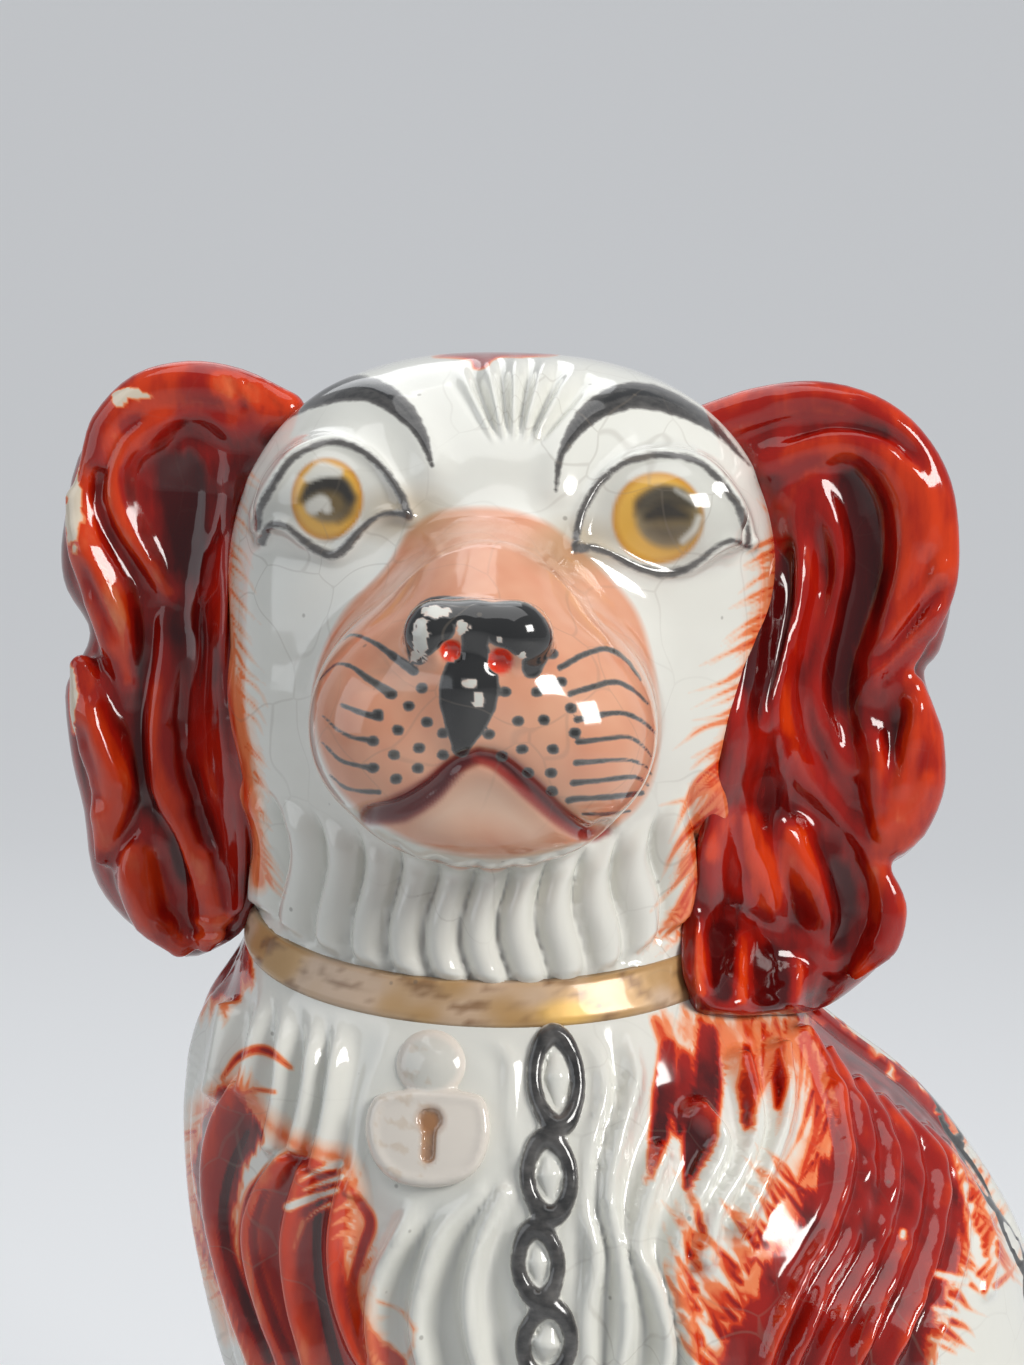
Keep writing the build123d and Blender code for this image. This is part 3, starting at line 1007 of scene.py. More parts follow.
    chest_locks: tuple[Pixels, ...] = (
        ((262, 945), (266, 985), (258, 1041), (246, 1090)),
        ((286, 980), (285, 1041), (281, 1096), (272, 1145)),
        ((310, 988), (315, 1035), (309, 1096), (297, 1146)),
        ((340, 1010), (337, 1066), (329, 1121), (318, 1165)),
        ((392, 1022), (386, 1060), (366, 1130), (352, 1190)),
        ((419, 1195), (404, 1229), (381, 1276), (373, 1320), (380, 1380)),
        ((474, 1190), (441, 1232), (424, 1282), (418, 1328), (430, 1390)),
        ((505, 1195), (482, 1240), (470, 1290), (474, 1340), (490, 1400)),
        ((480, 1025), (510, 1060), (508, 1110), (520, 1150)),
        ((594, 1045), (602, 1094), (589, 1143), (582, 1202), (595, 1257), (584, 1320), (590, 1400)),
        ((630, 1036), (634, 1084), (620, 1136), (609, 1195), (620, 1257), (626, 1327), (615, 1400)),
        ((662, 1155), (645, 1205), (638, 1250), (656, 1292), (667, 1344), (660, 1400)),
        ((700, 1110), (722, 1143), (703, 1188), (682, 1229), (675, 1278), (690, 1340)),
        ((742, 1060), (756, 1125), (738, 1174), (716, 1212), (706, 1260)),
        ((782, 1050), (786, 1110), (767, 1170), (742, 1225)),
        ((228, 1010), (222, 1050), (214, 1090)),
        ((240, 1088), (222, 1120), (212, 1165), (213, 1215), (224, 1262), (243, 1320), (262, 1375)),
        ((284, 1160), (264, 1190), (253, 1225), (256, 1265), (270, 1315), (290, 1372)),
        ((306, 1172), (295, 1210), (290, 1250), (297, 1305), (314, 1372)),
        ((350, 1175), (340, 1210), (336, 1250), (342, 1300), (358, 1345), (382, 1392)),
    )
    flank_locks: tuple[Pixels, ...] = (
        ((806, 1030), (836, 1080), (852, 1135), (850, 1185), (832, 1232), (804, 1280),
         (780, 1330), (764, 1390)),
        ((828, 1052), (862, 1100), (876, 1150), (872, 1200), (854, 1246), (828, 1290),
         (805, 1340), (790, 1395)),
        ((862, 1078), (888, 1120), (900, 1165), (894, 1212), (876, 1258), (851, 1302),
         (829, 1350), (817, 1400)),
        ((885, 1095), (912, 1135), (924, 1180), (917, 1226), (899, 1272), (876, 1318),
         (856, 1365), (846, 1400)),
        ((905, 1110), (934, 1145), (947, 1190), (941, 1242), (924, 1290), (904, 1335), (886, 1390)),
        ((930, 1125), (956, 1165), (969, 1205), (966, 1255), (952, 1300), (934, 1350)),
        ((950, 1140), (976, 1185), (992, 1235), (994, 1290)),
    )


@dataclass(frozen=True)
class CoatMarks:
    """The red markings of the coat, in picture pixels."""

    patches: tuple[tuple[Pixels, float, float], ...] = (
        (((806, 1000), (880, 998), (938, 1058), (954, 1108), (956, 1150), (968, 1220),
          (962, 1265), (945, 1300), (930, 1365), (935, 1450), (912, 1545), (868, 1610),
          (820, 1590), (795, 1525), (748, 1470), (722, 1420), (718, 1365), (728, 1327), (750, 1292),
          (764, 1258), (788, 1237), (798, 1202), (812, 1174), (829, 1129), (817, 1060)), 18.0, 0.70),
        (((266, 1166), (287, 1152), (312, 1157), (330, 1166), (347, 1182), (349, 1212), (345, 1250),
          (352, 1300), (366, 1344), (395, 1400), (405, 1480), (385, 1570), (345, 1620),
          (306, 1550), (284, 1450), (270, 1365), (252, 1310), (238, 1262), (238, 1220),
          (247, 1188)), 9.0, 0.66),
        (((206, 1112), (222, 1086), (236, 1084), (250, 1106), (264, 1131), (258, 1148), (246, 1165),
          (237, 1205), (237, 1250), (250, 1296), (278, 1345), (290, 1400), (262, 1400), (240, 1345),
          (222, 1296), (203, 1250), (193, 1200), (194, 1150)), 11.0, 0.76),
        (((205, 960), (243, 935), (250, 985), (225, 1002), (196, 990)), 14.0, 0.70),
        (((664, 1010), (750, 1010), (836, 1016), (842, 1062), (812, 1088), (772, 1076), (735, 1086),
          (700, 1060), (666, 1046)), 26.0, 0.34),
    )
    drips: tuple[Stroke, ...] = (
        (((668, 1046), (665, 1095), (658, 1142), (648, 1182)), (20, 26, 20, 4), 0.70),
        (((708, 1034), (706, 1088), (699, 1138), (687, 1186)), (24, 34, 36, 8), 0.72),
        (((684, 1058), (684, 1090), (680, 1132)), (20, 26, 12), 0.62),
        (((747, 1048), (749, 1084), (746, 1124)), (12, 24, 10), 0.72),
        (((778, 1050), (780, 1080), (778, 1106)), (8, 18, 7), 0.74),
    )
    scrapes: tuple[Stroke, ...] = (
        (((340, 1164), (318, 1171), (300, 1181)), (6, 6, 2), 1.0),
        (((342, 1177), (320, 1184), (304, 1190)), (5, 6, 2), 1.0),
        (((336, 1190), (312, 1198), (288, 1207)), (6, 9, 9), 1.0),
        (((330, 1204), (318, 1210), (308, 1219)), (4, 4, 2), 1.0),
        (((346, 1205), (334, 1211)), (5, 2), 0.7), (((344, 1219), (333, 1225)), (5, 2), 0.7),
        (((343, 1233), (332, 1239)), (5, 2), 0.7), (((303, 1222), (294, 1248)), (8, 4), 0.4),
        (((938, 1274), (966, 1281)), (7, 8), 0.9), (((934, 1308), (960, 1316)), (5, 6), 0.8),
        (((930, 1338), (950, 1345)), (5, 5), 0.8), (((903, 1232), (903, 1236)), (6, 6), 1.0),
    )
    back_chain: tuple[Place, ...] = (
        (46, -63, 116), (56, -56, 118), (66, -46, 123), (72, -33, 132), (73, -20, 143), (68, -11, 155),
        (61, -8, 165), (53, -6, 174), (47, 1, 178), (42, 10, 180))
    link_step: float = 13.0
    link_half: tuple[float, float] = (7.2, 3.8)
    nape: Place = (-31.0, 27.0, 310.0)
    nape_half: Place = (25.0, 31.0, 27.0)
    strokes: tuple[Stroke, ...] = (
        (((264, 1192), (253, 1230), (257, 1268), (272, 1315), (292, 1365)), (12, 15, 15, 16, 18), 0.92),
        (((334, 1172), (320, 1201), (317, 1238), (320, 1287), (331, 1340), (345, 1390)),
         (6, 13, 15, 15, 17, 20), 0.96),
        (((248, 1132), (232, 1165), (223, 1210), (228, 1255), (246, 1305), (268, 1360)),
         (10, 16, 18, 18, 18, 16), 0.94),
        (((222, 1078), (240, 1056), (265, 1050), (291, 1068)), (4, 9, 9, 3), 0.75),
        (((238, 1096), (255, 1090), (275, 1092)), (6, 4, 3), 0.70),
        (((340, 1172), (358, 1200), (370, 1222), (362, 1250), (352, 1290), (362, 1330),
          (395, 1365)), (6, 14, 16, 14, 18, 22, 26), 0.60),
        (((372, 1300), (400, 1310), (415, 1335), (405, 1362)), (3, 5, 5, 4), 0.48),
        (((655, 1020), (668, 1045), (690, 1062)), (12, 18, 22), 0.50),
        (((700, 1020), (712, 1045), (715, 1075)), (10, 14, 16), 0.60),
        (((745, 1018), (752, 1050), (750, 1085)), (14, 20, 18), 0.45),
        (((775, 1018), (782, 1050), (780, 1085)), (10, 14, 13), 0.47),
        (((800, 1018), (812, 1060), (818, 1120), (800, 1180)), (12, 14, 14, 10), 0.52),
    )
    washes: tuple[Stroke, ...] = (
        (((785, 470), (780, 560), (768, 640), (745, 730), (722, 800), (705, 890)),
         (8, 26, 34, 40, 40, 24), 0.50),
        (((228, 440), (216, 500), (218, 580), (224, 660), (236, 740), (250, 820), (258, 880)),
         (16, 26, 28, 28, 28, 24, 14), 0.56),
        (((800, 1030), (830, 1100), (812, 1170), (780, 1240), (740, 1310)), (30, 40, 40, 40, 40), 0.44),
        (((200, 1110), (232, 1084), (262, 1118), (300, 1148), (345, 1162), (358, 1210), (358, 1290),
          (372, 1350)), (20, 26, 26, 24, 26, 26, 26, 30), 0.40),
        (((196, 1130), (192, 1200), (206, 1270), (232, 1330)), (20, 24, 24, 24), 0.42),
    )
    combs: tuple[tuple[Pixels, tuple[float, float], int, float, float], ...] = (
        (((788, 530), (784, 590), (772, 650), (756, 715), (738, 770)), (-56, 26), 44, 9.0, 0.62),
        (((738, 735), (724, 790), (712, 840), (705, 890)), (-52, 66), 36, 9.0, 0.66),
        (((770, 455), (782, 500), (786, 530)), (-30, -22), 9, 6.0, 0.50),
        (((238, 455), (226, 500), (226, 560), (232, 640), (240, 720), (254, 790), (264, 880)), (26, 30),
         60, 5.0, 0.52),
        (((750, 1018), (790, 1018), (828, 1026)), (-14, 130), 14, 9.0, 0.56),
        (((816, 1080), (826, 1120), (812, 1170)), (-30, 70), 12, 9.0, 0.58),
        (((800, 1180), (775, 1235), (748, 1285), (728, 1335), (720, 1400)), (-42, -52), 30, 10.0, 0.68),
        (((706, 1235), (694, 1275), (697, 1320), (707, 1365)), (-26, -52), 12, 9.0, 0.66),
        (((930, 1115), (958, 1170), (978, 1230), (990, 1300)), (26, -40), 24, 8.0, 0.62),
        (((935, 1115), (975, 1190), (1000, 1260)), (30, 34), 18, 7.0, 0.56),
        (((946, 1230), (950, 1290), (938, 1350)), (34, 26), 12, 9.0, 0.64),
        (((204, 1110), (198, 1170), (204, 1240), (228, 1310)), (-28, 12), 26, 6.0, 0.64),
        (((206, 1100), (232, 1092), (255, 1118)), (6, -34), 14, 6.0, 0.56),
        (((300, 1176), (330, 1180), (345, 1200)), (26, -34), 9, 7.0, 0.66),
        (((350, 1210), (360, 1255), (354, 1310)), (22, -20), 16, 6.0, 0.58),
        (((352, 1320), (372, 1350), (396, 1385)), (30, -14), 12, 7.0, 0.52),
        (((196, 985), (215, 1000), (245, 990)), (-4, 26), 9, 7.0, 0.55),
    )


@dataclass(frozen=True)
class Rises:
    """How far the moulded relief stands out or lies in, in millimetres."""

    hair: float = 2.6
    nape: float = 1.1
    rib: float = 3.3
    rib_ground: float = 1.5
    ruff_edge: float = 0.9
    fan: float = 1.3
    chest_lock: float = 4.2
    flank_lock: float = 3.2
    chest_ground: float = 2.0
    thigh: float = 1.2
    thigh_groove: float = 3.6
    toe_groove: float = 1.6
    upper_lid: float = 1.1
    lower_lid: float = 1.0
    brow: float = 1.0
    mouth: float = 1.5
    nostril: float = 1.4
    philtrum: float = 0.9


@dataclass
class Torso:
    """The hollow body and head: two pressings and the closing slab.

    Stations are (height, centre x, half length, half depth), and lumps are (centre, half
    sizes, blend). The mesh is finest in two windows of the picture, in pixels: fine_head is
    (left, right, top, foot), and fine_chest is (left, right, top) of what lies outside it.
    """

    stations: tuple[tuple[float, float, float, float], ...] = (
        (0.0, 28.0, 79.0, 58.0), (25.0, 28.9, 82.0, 62.0), (60.0, 27.0, 84.5, 64.0),
        (100.0, 13.7, 83.8, 66.0), (140.0, -5.4, 78.6, 66.0), (165.0, -13.0, 76.3, 65.0),
        (186.0, -21.3, 68.9, 60.0), (200.0, -28.9, 58.0, 54.0), (214.0, -32.5, 46.5, 48.0),
        (229.0, -32.5, 46.0, 47.0), (245.0, -32.5, 48.0, 45.5), (262.0, -32.5, 46.0, 40.0),
        (275.0, -32.5, 26.0, 24.0),
    )
    skull_centre: Place = (-32.5, 0.0, 273.5)
    skull_half: Place = (50.0, 47.0, 46.5)
    skull_square: float = 2.5
    haunch: Lump = ((54, 42, 59), (50, 27, 56), 14.0)
    hind_paw: Lump = ((1, 52, 13.5), (27, 15, 13.5), 7.0)
    hind_toes: tuple[float, float] = (47.5, 56.5)
    muzzle: tuple[Lump, ...] = (
        ((-31.0, -44, 259), (26.8, 34, 23.5), 9.0), ((-43.6, -60, 256.5), (13.4, 17.0, 15.0), 7.0),
        ((-17.2, -60, 256.0), (13.8, 17.0, 15.0), 7.0), ((-30, -56, 243.5), (17, 16, 8.5), 6.0))
    bridge: tuple[Place, ...] = ((-31.0, -34.0, 277.0), (-30.5, -56.0, 274.0), (-30.0, -70.0, 267.0))
    bridge_widths: tuple[float, ...] = (15.0, 13.0, 9.5)
    eyes: tuple[Lump, ...] = (
        ((-57.8, -33, 292.2), (14, 11, 11), 3.0), ((-4.2, -33, 290.8), (14, 11, 11), 3.0))
    seam: float = 2.0
    slab: float = 6.0
    vent_place: float = 37.4
    vent_radius: float = 4.0
    cell: float = 1.8
    fine_heights: tuple[float, float] = (92.0, 128.0)
    fine_head: tuple[float, ...] = (205, 790, 335, 905)
    fine_chest: tuple[float, ...] = (372, 760, 1040)
    clay: Clay = field(default_factory=Clay)
    rises: Rises = field(default_factory=Rises)
    face: FaceMarks = field(default_factory=FaceMarks)
    coat: CoatMarks = field(default_factory=CoatMarks)

    def trunk(self, points: Array) -> Array:
        """Distance to the stacked body ellipses.

        Args:
            points: places, one a row.

        Returns:
            One distance a place.
        """
        table = np.array(self.stations)
        smooth = curve_through(table, 8)
        z = points[:, 2]
        cx, half_x, half_y = (np.interp(z, smooth[:, 0], smooth[:, k]) for k in (1, 2, 3))
        dx, dy = (points[:, 0] - cx) / half_x, points[:, 1] / half_y
        reach = np.sqrt(dx ** 2 + dy ** 2) + 1e-9
        slope = np.sqrt((dx / half_x) ** 2 + (dy / half_y) ** 2) + 1e-9
        around = reach * (reach - 1.0) / slope
        return np.maximum(around, np.maximum(-z, z - table[-1, 0]))

    def skull(self, points: Array) -> Array:
        """Distance to the head's squared egg.

        Args:
            points: places, one a row.

        Returns:
            One distance a place.
        """
        shift = np.abs(points - np.array(self.skull_centre)) / np.array(self.skull_half)
        reach = (shift ** self.skull_square).sum(1) ** (1.0 / self.skull_square)
        return (reach - 1.0) * min(self.skull_half)

    def ground(self, points: Array) -> Array:
        """Distance to what lies under the table's top."""
        return points[:, 2]

    def model(self) -> None:
        """Lump the body, head and face together."""
        clay = self.clay
        clay.solid(self.trunk, (-100, -75, 0), (125, 75, 276), 6.0)
        centre, half = np.array(self.skull_centre), np.array(self.skull_half)
        clay.solid(self.skull, centre - half, centre + half, 13.0)
        for side in (-1, 1):
            for (x, y, z), half, blend in (self.haunch, self.hind_paw):
                clay.lump((x, side * y, z), half, blend)
        for lump in self.muzzle:
            clay.lump(*lump)
        clay.tube(np.array(self.bridge), self.bridge_widths, 7.0)
        for spot, half in self.face.nose_lumps:
            clay.lump(CAMERA.lift([spot], self.face.nose_depth)[0], half, 1.8)
        for lump in self.eyes:
            clay.lump(*lump)
        clay.solid(self.ground, (-120, -90, -20), (140, 90, 0), 0.2, cut=True)
        vent = np.array([(self.vent_place, 0.0, -8.0), (self.vent_place, 0.0, 14.0)])
        clay.tube(vent, (self.vent_radius, self.vent_radius), 0.3, cut=True)

    def build(self, finish: Glaze, slab_finish: Glaze) -> None:
        """Skin the clay, part it and paint each part.

        Args:
            finish: the body's glaze.
            slab_finish: the underside's glaze.
        """
        self.model()
        points, quads = self.clay.skin((-104, -92, -6), (124, 78, 328), self.cell)
        whole = raw_mesh("whole", points, quads)
        above = ((0, 0, self.slab), (0, 0, -1))
        for name, planes, levels, slot in (
            ("front_shell", (((0, self.seam, 0), (0, 1, 0)), above), 2, "body_glaze"),
            ("back_shell", (((0, self.seam, 0), (0, -1, 0)), above), 0, "body_glaze"),
            ("base_slab", (((0, 0, self.slab), (0, 0, 1)),), 0, "base_clay"),
        ):
            part = self.part(name, whole, planes, levels)
            spots, outward, height = self.raise_hair(part)
            glaze = slab_finish if name == "base_slab" else finish
            dress(name, part, self.paint(spots, outward, height), glaze, (name,))

    def part(self, name: str, mesh: bpy.types.Mesh, planes: Sequence,
             levels: int) -> bpy.types.Mesh:
        """Cut one closed part out of the whole.

        Args:
            name: the part's name.
            mesh: the whole surface.
            planes: places and outward directions of the cuts.
            levels: how often the seen side is divided for fine work.

        Returns:
            The part's mesh.
        """
        cut = bmesh.new()
        cut.from_mesh(mesh)
        for place, outward in planes:
            rim = slice_flat(cut, place, outward)
            bmesh.ops.triangle_fill(cut, use_beauty=True, use_dissolve=False, edges=rim,
                                    normal=outward)
        bmesh.ops.recalc_face_normals(cut, faces=cut.faces)
        for level in range(levels):
            cut.verts.index_update()
            spots = np.array([vert.co for vert in cut.verts]) / MM
            px, py = CAMERA.project(spots)
            keen = (spots[:, 1] < self.seam - 4.0) & (spots[:, 2] > self.fine_heights[level])
            if level > 0:
                left, right, top, foot = self.fine_head
                head = (px > left) & (px < right) & (py > top) & (py < foot) & (spots[:, 1] < -8.0)
                left, right, top = self.fine_chest
                keen &= head | ((py > top) & ((px > right) | (px < left)))
            edges = [edge for edge in cut.edges if keen[edge.verts[0].index]
                     and keen[edge.verts[1].index]]
            bmesh.ops.subdivide_edges(cut, edges=edges, cuts=1, use_grid_fill=True)
        made = bpy.data.meshes.new(name)
        cut.to_mesh(made)
        cut.free()
        return made

    def raise_hair(self, mesh: bpy.types.Mesh) -> tuple[Array, Array, Array]:
        """Settle a part on the clay and raise its relief.

        Args:
            mesh: the part, changed in place.

        Returns:
            Its new points, the clay's outward directions and the relief's heights there.
        """
        spots = mesh_points(mesh)
        free = (np.abs(spots[:, 1] - self.seam) > 0.02) & (np.abs(spots[:, 2] - self.slab) > 0.02)
        free &= spots[:, 2] > 0.4
        spots[free] = self.clay.settle(spots[free], 2)
        outward = self.clay.slope(spots)
        height = self.relief(spots, outward) * smoothstep(0.3, 4.0, np.abs(spots[:, 1] - self.seam))
        height *= smoothstep(0.0, 6.0, spots[:, 2] - self.slab)
        spots[free] += outward[free] * height[free, None]
        mesh.vertices.foreach_set("co", (spots * MM).ravel())
        mesh.update()
        return spots, outward, height

    def facing(self, spots: Array, outward: Array, low: float = 0.0, high: float = 0.22) -> Array:
        """How far places face the picture's camera, as a soft step from low to high.

        Args:
            spots: places on the clay.
            outward: the clay's directions there.
            low, high: cosines where the step is 0 and 1.

        Returns:
            One share a place.
        """
        toward = CAMERA.position() - spots
        toward /= np.linalg.norm(toward, axis=1, keepdims=True)
        return smoothstep(low, high, np.einsum("ij,ij->i", toward, outward))

    def relief(self, spots: Array, outward: Array) -> Array:
        """Height of the moulded hair and features over the smooth clay.

        Args:
            spots: places on the clay.
            outward: the clay's directions there.

        Returns:
            Heights in millimetres.
        """
        seen = self.facing(spots, outward)
        marks = CAMERA.spots(spots)
        ahead = seen * smoothstep(-1.0, -9.0, spots[:, 1])
        flank = CAMERA.spots(np.array([(x, Chain.depth, z) for x, z in Chain.flank]))
        sprig, _ = line_distance(marks, np.vstack([[link[:2] for link in Chain.links], flank]))
        plate = np.hypot((marks[:, 0] - 430) / 80.0, (marks[:, 1] - 1120) / 95.0)
        still = smoothstep(22.0, 60.0, sprig) * smoothstep(0.8, 1.3, plate)
        z = spots[:, 2]
        below = smoothstep(213.0, 204.0, z - 0.16 * spots[:, 1] - 2.0) * smoothstep(4.0, 30.0, z)
        front = seen * smoothstep(96.0, 116.0, z)
        hair = below * (1.0 - front) * (1.0 - (1.0 - still) * seen)
        square = self.facing(spots, outward, 0.05, 0.42) * smoothstep(92.0, 112.0, z)
        chest = self.chest_relief(marks, spots) * ahead * square - self.rises.chest_ground * front
        return (self.hair_relief(spots, hair) + self.ruff_relief(marks, spots, seen)
                + below * still * chest + self.haunch_relief(spots) + ahead * self.face_relief(marks))

    def hair_relief(self, spots: Array, share: Array) -> Array:
        """Waved grooves down the body and on the nape.

        Args:
            spots: places on the clay.
            share: how much of the body's hair each place has.

        Returns:
            Heights in millimetres.
        """
        table = curve_through(np.array(self.stations), 8)
        x, y, z = spots.T
        turn = np.arctan2(x - np.interp(z, table[:, 0], table[:, 1]), -y)
        run = turn * 60.0 + 4.0 * np.sin(z / 12.0 + 2.0 * np.sin(turn * 2.0))
        run = run + 0.10 * (z - 160.0) * turn + 2.0 * wave_noise(spots, 60.0, 21, 2)
        groove = 1.0 - np.abs(np.sin(math.pi * run / 9.5)) ** 0.8
        strong = 0.55 + 0.45 * wave_noise(spots, 45.0, 8, 2)
        quiet = 1.0 - 0.30 * smoothstep(20.0, 60.0, x) * smoothstep(130.0, 90.0, z)
        nape = smoothstep(-6.0, 14.0, y) * smoothstep(214.0, 232.0, z) * smoothstep(318.0, 300.0, z)
        return -groove * (self.rises.hair * share * strong * quiet + self.rises.nape * nape)

    def ruff_relief(self, marks: Array, spots: Array, seen: Array) -> Array:
        """Ribs of the ruff under the jaw, and the fan of hair between the brows.

        Args:
            marks: picture places of the clay's places.
            spots: places on the clay.
            seen: how far they face the picture.

        Returns:
            Heights in millimetres.
        """
        face, rises = self.face, self.rises
        px, py = marks.T
        jaw = np.interp(px, *np.array(face.jaw).T)
        end = np.interp(px, *np.array(face.ribs_end).T)
        share = (py - jaw) / np.maximum(end - jaw, 1.0)
        fore = seen * (spots[:, 1] < -6.0)
        along = px + 9.0 * np.sin(share * 4.6 + px / 90.0) + 0.05 * (px - 470.0) * share
        rib = np.abs(np.sin(math.pi * along / face.rib_step)) ** 0.8
        ribbed = fore * smoothstep(-0.10, 0.14, share) * smoothstep(1.06, 0.94, share)
        height = ribbed * (rises.rib * rib - rises.rib_ground)
        height -= rises.ruff_edge * fore * smoothstep(0.92, 1.0, share) * smoothstep(1.12, 1.03, share)
        across, up = px - face.fan_centre[0], face.fan_centre[1] - py
        fan, reach = np.arctan2(across, up), np.hypot(across, up)
        fanned = seen * smoothstep(34.0, 70.0, reach) * smoothstep(132.0, 95.0, reach)
        fanned = fanned * smoothstep(0.75, 0.45, np.abs(fan - 0.12))
        return height + rises.fan * fanned * np.sin(fan * 25.0 + 0.8)

    def crest(self, marks: Array, lines: Sequence[Pixels], wide: float) -> Array:
        """A soft ridge along picture lines.

        Args:
            marks: picture places.
            lines: the lines, in pixels.
            wide: the ridge's half width, in pixels.

        Returns:
            One share from 0 to 1 a place.
        """
        best = np.zeros(len(marks))
        for line in lines:
            route = curve_through(line)
            near = near_run(marks, route, 4 * wide)
            gap, _ = line_distance(marks[near], route)
            best[near] = np.maximum(best[near], np.exp(-(gap / wide) ** 2))
        return best

    def chest_relief(self, marks: Array, spots: Array) -> Array:
        """Locks of the chest and finer, uneven ones of the flank, from their picture places.

        Args:
            marks: picture places of the clay's places.
            spots: places on the clay.

        Returns:
            Heights in millimetres.
        """
        broad = self.crest(marks, run_on(self.face.chest_locks), 11.5)
        fine = self.crest(marks, run_on(self.face.flank_locks), 9.0)
        uneven = 0.72 + 0.38 * wave_noise(spots, 26.0, 19)
        return np.maximum(self.rises.chest_lock * broad, self.rises.flank_lock * uneven * fine)

    def haunch_relief(self, spots: Array) -> Array:
        """Swell and groove of the thighs, and grooves between the hind toes.

        Args:
            spots: places on the clay.

        Returns:
            Heights in millimetres.
        """
        x, y, z = spots.T
        centre, half, _ = self.haunch
        thigh = np.hypot((x - centre[0]) / half[0], (z - centre[2]) / half[2])
        side = smoothstep(22.0, 40.0, np.abs(y)) * smoothstep(74.0, 50.0, x) * smoothstep(8.0, 22.0, z)
        groove = np.exp(-((thigh - 1.04) / 0.085) ** 2)
        height = side * (self.rises.thigh * smoothstep(1.0, 0.75, thigh)
                         - self.rises.thigh_groove * groove)
        for toe in self.hind_toes:
            groove = np.exp(-((np.abs(y) - toe) / 1.7) ** 2) * smoothstep(-10.0, -18.0, x)
            height -= self.rises.toe_groove * groove * smoothstep(27.0, 22.0, z)
        return height

    def face_relief(self, marks: Array) -> Array:
        """Lids, brows, lips, nostrils and the ridge under the nose, from their picture places.

        Args:
            marks: picture places of the clay's places.

        Returns:
            Heights in millimetres.
        """
        face, rises = self.face, self.rises
        slits = [((column - 2, row), (column + 2, row)) for column, row, _ in face.nostrils]
        return sum(rise * self.crest(marks, lines, wide) for rise, lines, wide in (
            (rises.upper_lid, face.upper_lids, 7.0), (rises.lower_lid, face.lower_lids, 7.0),
            (rises.brow, face.brows, 18.0), (-rises.mouth, face.mouth, 8.0),
            (-rises.nostril, slits, 9.0), (rises.philtrum, (face.philtrum,), 20.0)))

    def paint(self, spots: Array, outward: Array, height: Array) -> Palette:
        """Lay the enamel on one part.

        Args:
            spots: the part's points.
            outward: the clay's directions there.
            height: the relief's heights there.

        Returns:
            The painted colours.
        """
        palette = Palette(spots, Enamel.CREAM)
        seen = self.facing(spots, outward) * (spots[:, 1] < -4.0)
        ragged = spots[:, 1] + 8.0 * wave_noise(spots, 8.0, 18)
        edge = self.facing(spots, outward, -0.35, -0.05) * smoothstep(9.0, 3.0, ragged)
        self.paint_face(palette, seen)
        self.paint_coat(palette, seen, edge)
        red = palette.fields["red"]
        # red thinned on the relief's ridges and thickened in its grooves: pooled enamel, and painted
        # light and shade as well
        red -= 0.085 * np.clip(height, -1.8, 1.8) * smoothstep(0.4, 0.7, red)
        return palette

    def paint_face(self, palette: Palette, seen: Array) -> None:
        """Paint muzzle, eyes, whiskers, nose and lips.

        Args:
            palette: the paint.
            seen: which points face the picture.
        """
        face = self.face
        flesh = palette.patch(face.flesh, 7.0) * seen
        x, y, z = palette.points.T
        round_muzzle = np.hypot((x + 31.0) / 30.0, (z - 257.0) / 25.0)
        hidden = smoothstep(1.04, 0.96, round_muzzle) * smoothstep(-38.0, -46.0, y) * (1.0 - seen)
        flesh = np.maximum(flesh, hidden)
        tone = 0.5 + 0.5 * wave_noise(palette.points, 13.0, 4)
        # flesh deepened towards the upper left of the muzzle: painted shade
        shade = smoothstep(470.0, 330.0, palette.px + 0.3 * (palette.py - 650.0))
        palette.lay(Enamel.FLESH, flesh * 0.95)
        palette.lay(Enamel.FLESH_DEEP, flesh * (0.15 + 0.40 * tone) + 0.30 * flesh * shade)
        self.paint_eyes(palette, seen)
        for line, widths in face.whiskers:
            palette.stroke("black", line, [0.85 * w for w in widths], seen, 0.70, 5.0)
        for column, row in face.dots:
            palette.stroke("black", ((column - 1, row), (column + 1, row)), (11, 11), seen, 0.78, 6.0)
        self.paint_nose(palette, seen)
        palette.stroke(Enamel.CHIN, face.chin, (26, 50, 26), flesh, 0.8, 30.0)
        for line, widths, tint in zip(face.mouth, face.mouth_widths, (Enamel.LIP_DARK, Enamel.LIP)):
            palette.stroke(Enamel.LIP, line, [w + 5 for w in widths], seen, 0.85, 6.0)
            palette.stroke(tint, line, widths, seen, 1.0, 7.0)
            parting = [(column, row - 2) for column, row in line]
            palette.stroke(Enamel.LIP_DARK, parting, [0.3 * w for w in widths], seen, 0.9, 5.0)
        palette.thicken("red", 0.8 * palette.patch(face.crown_red, 6.0))

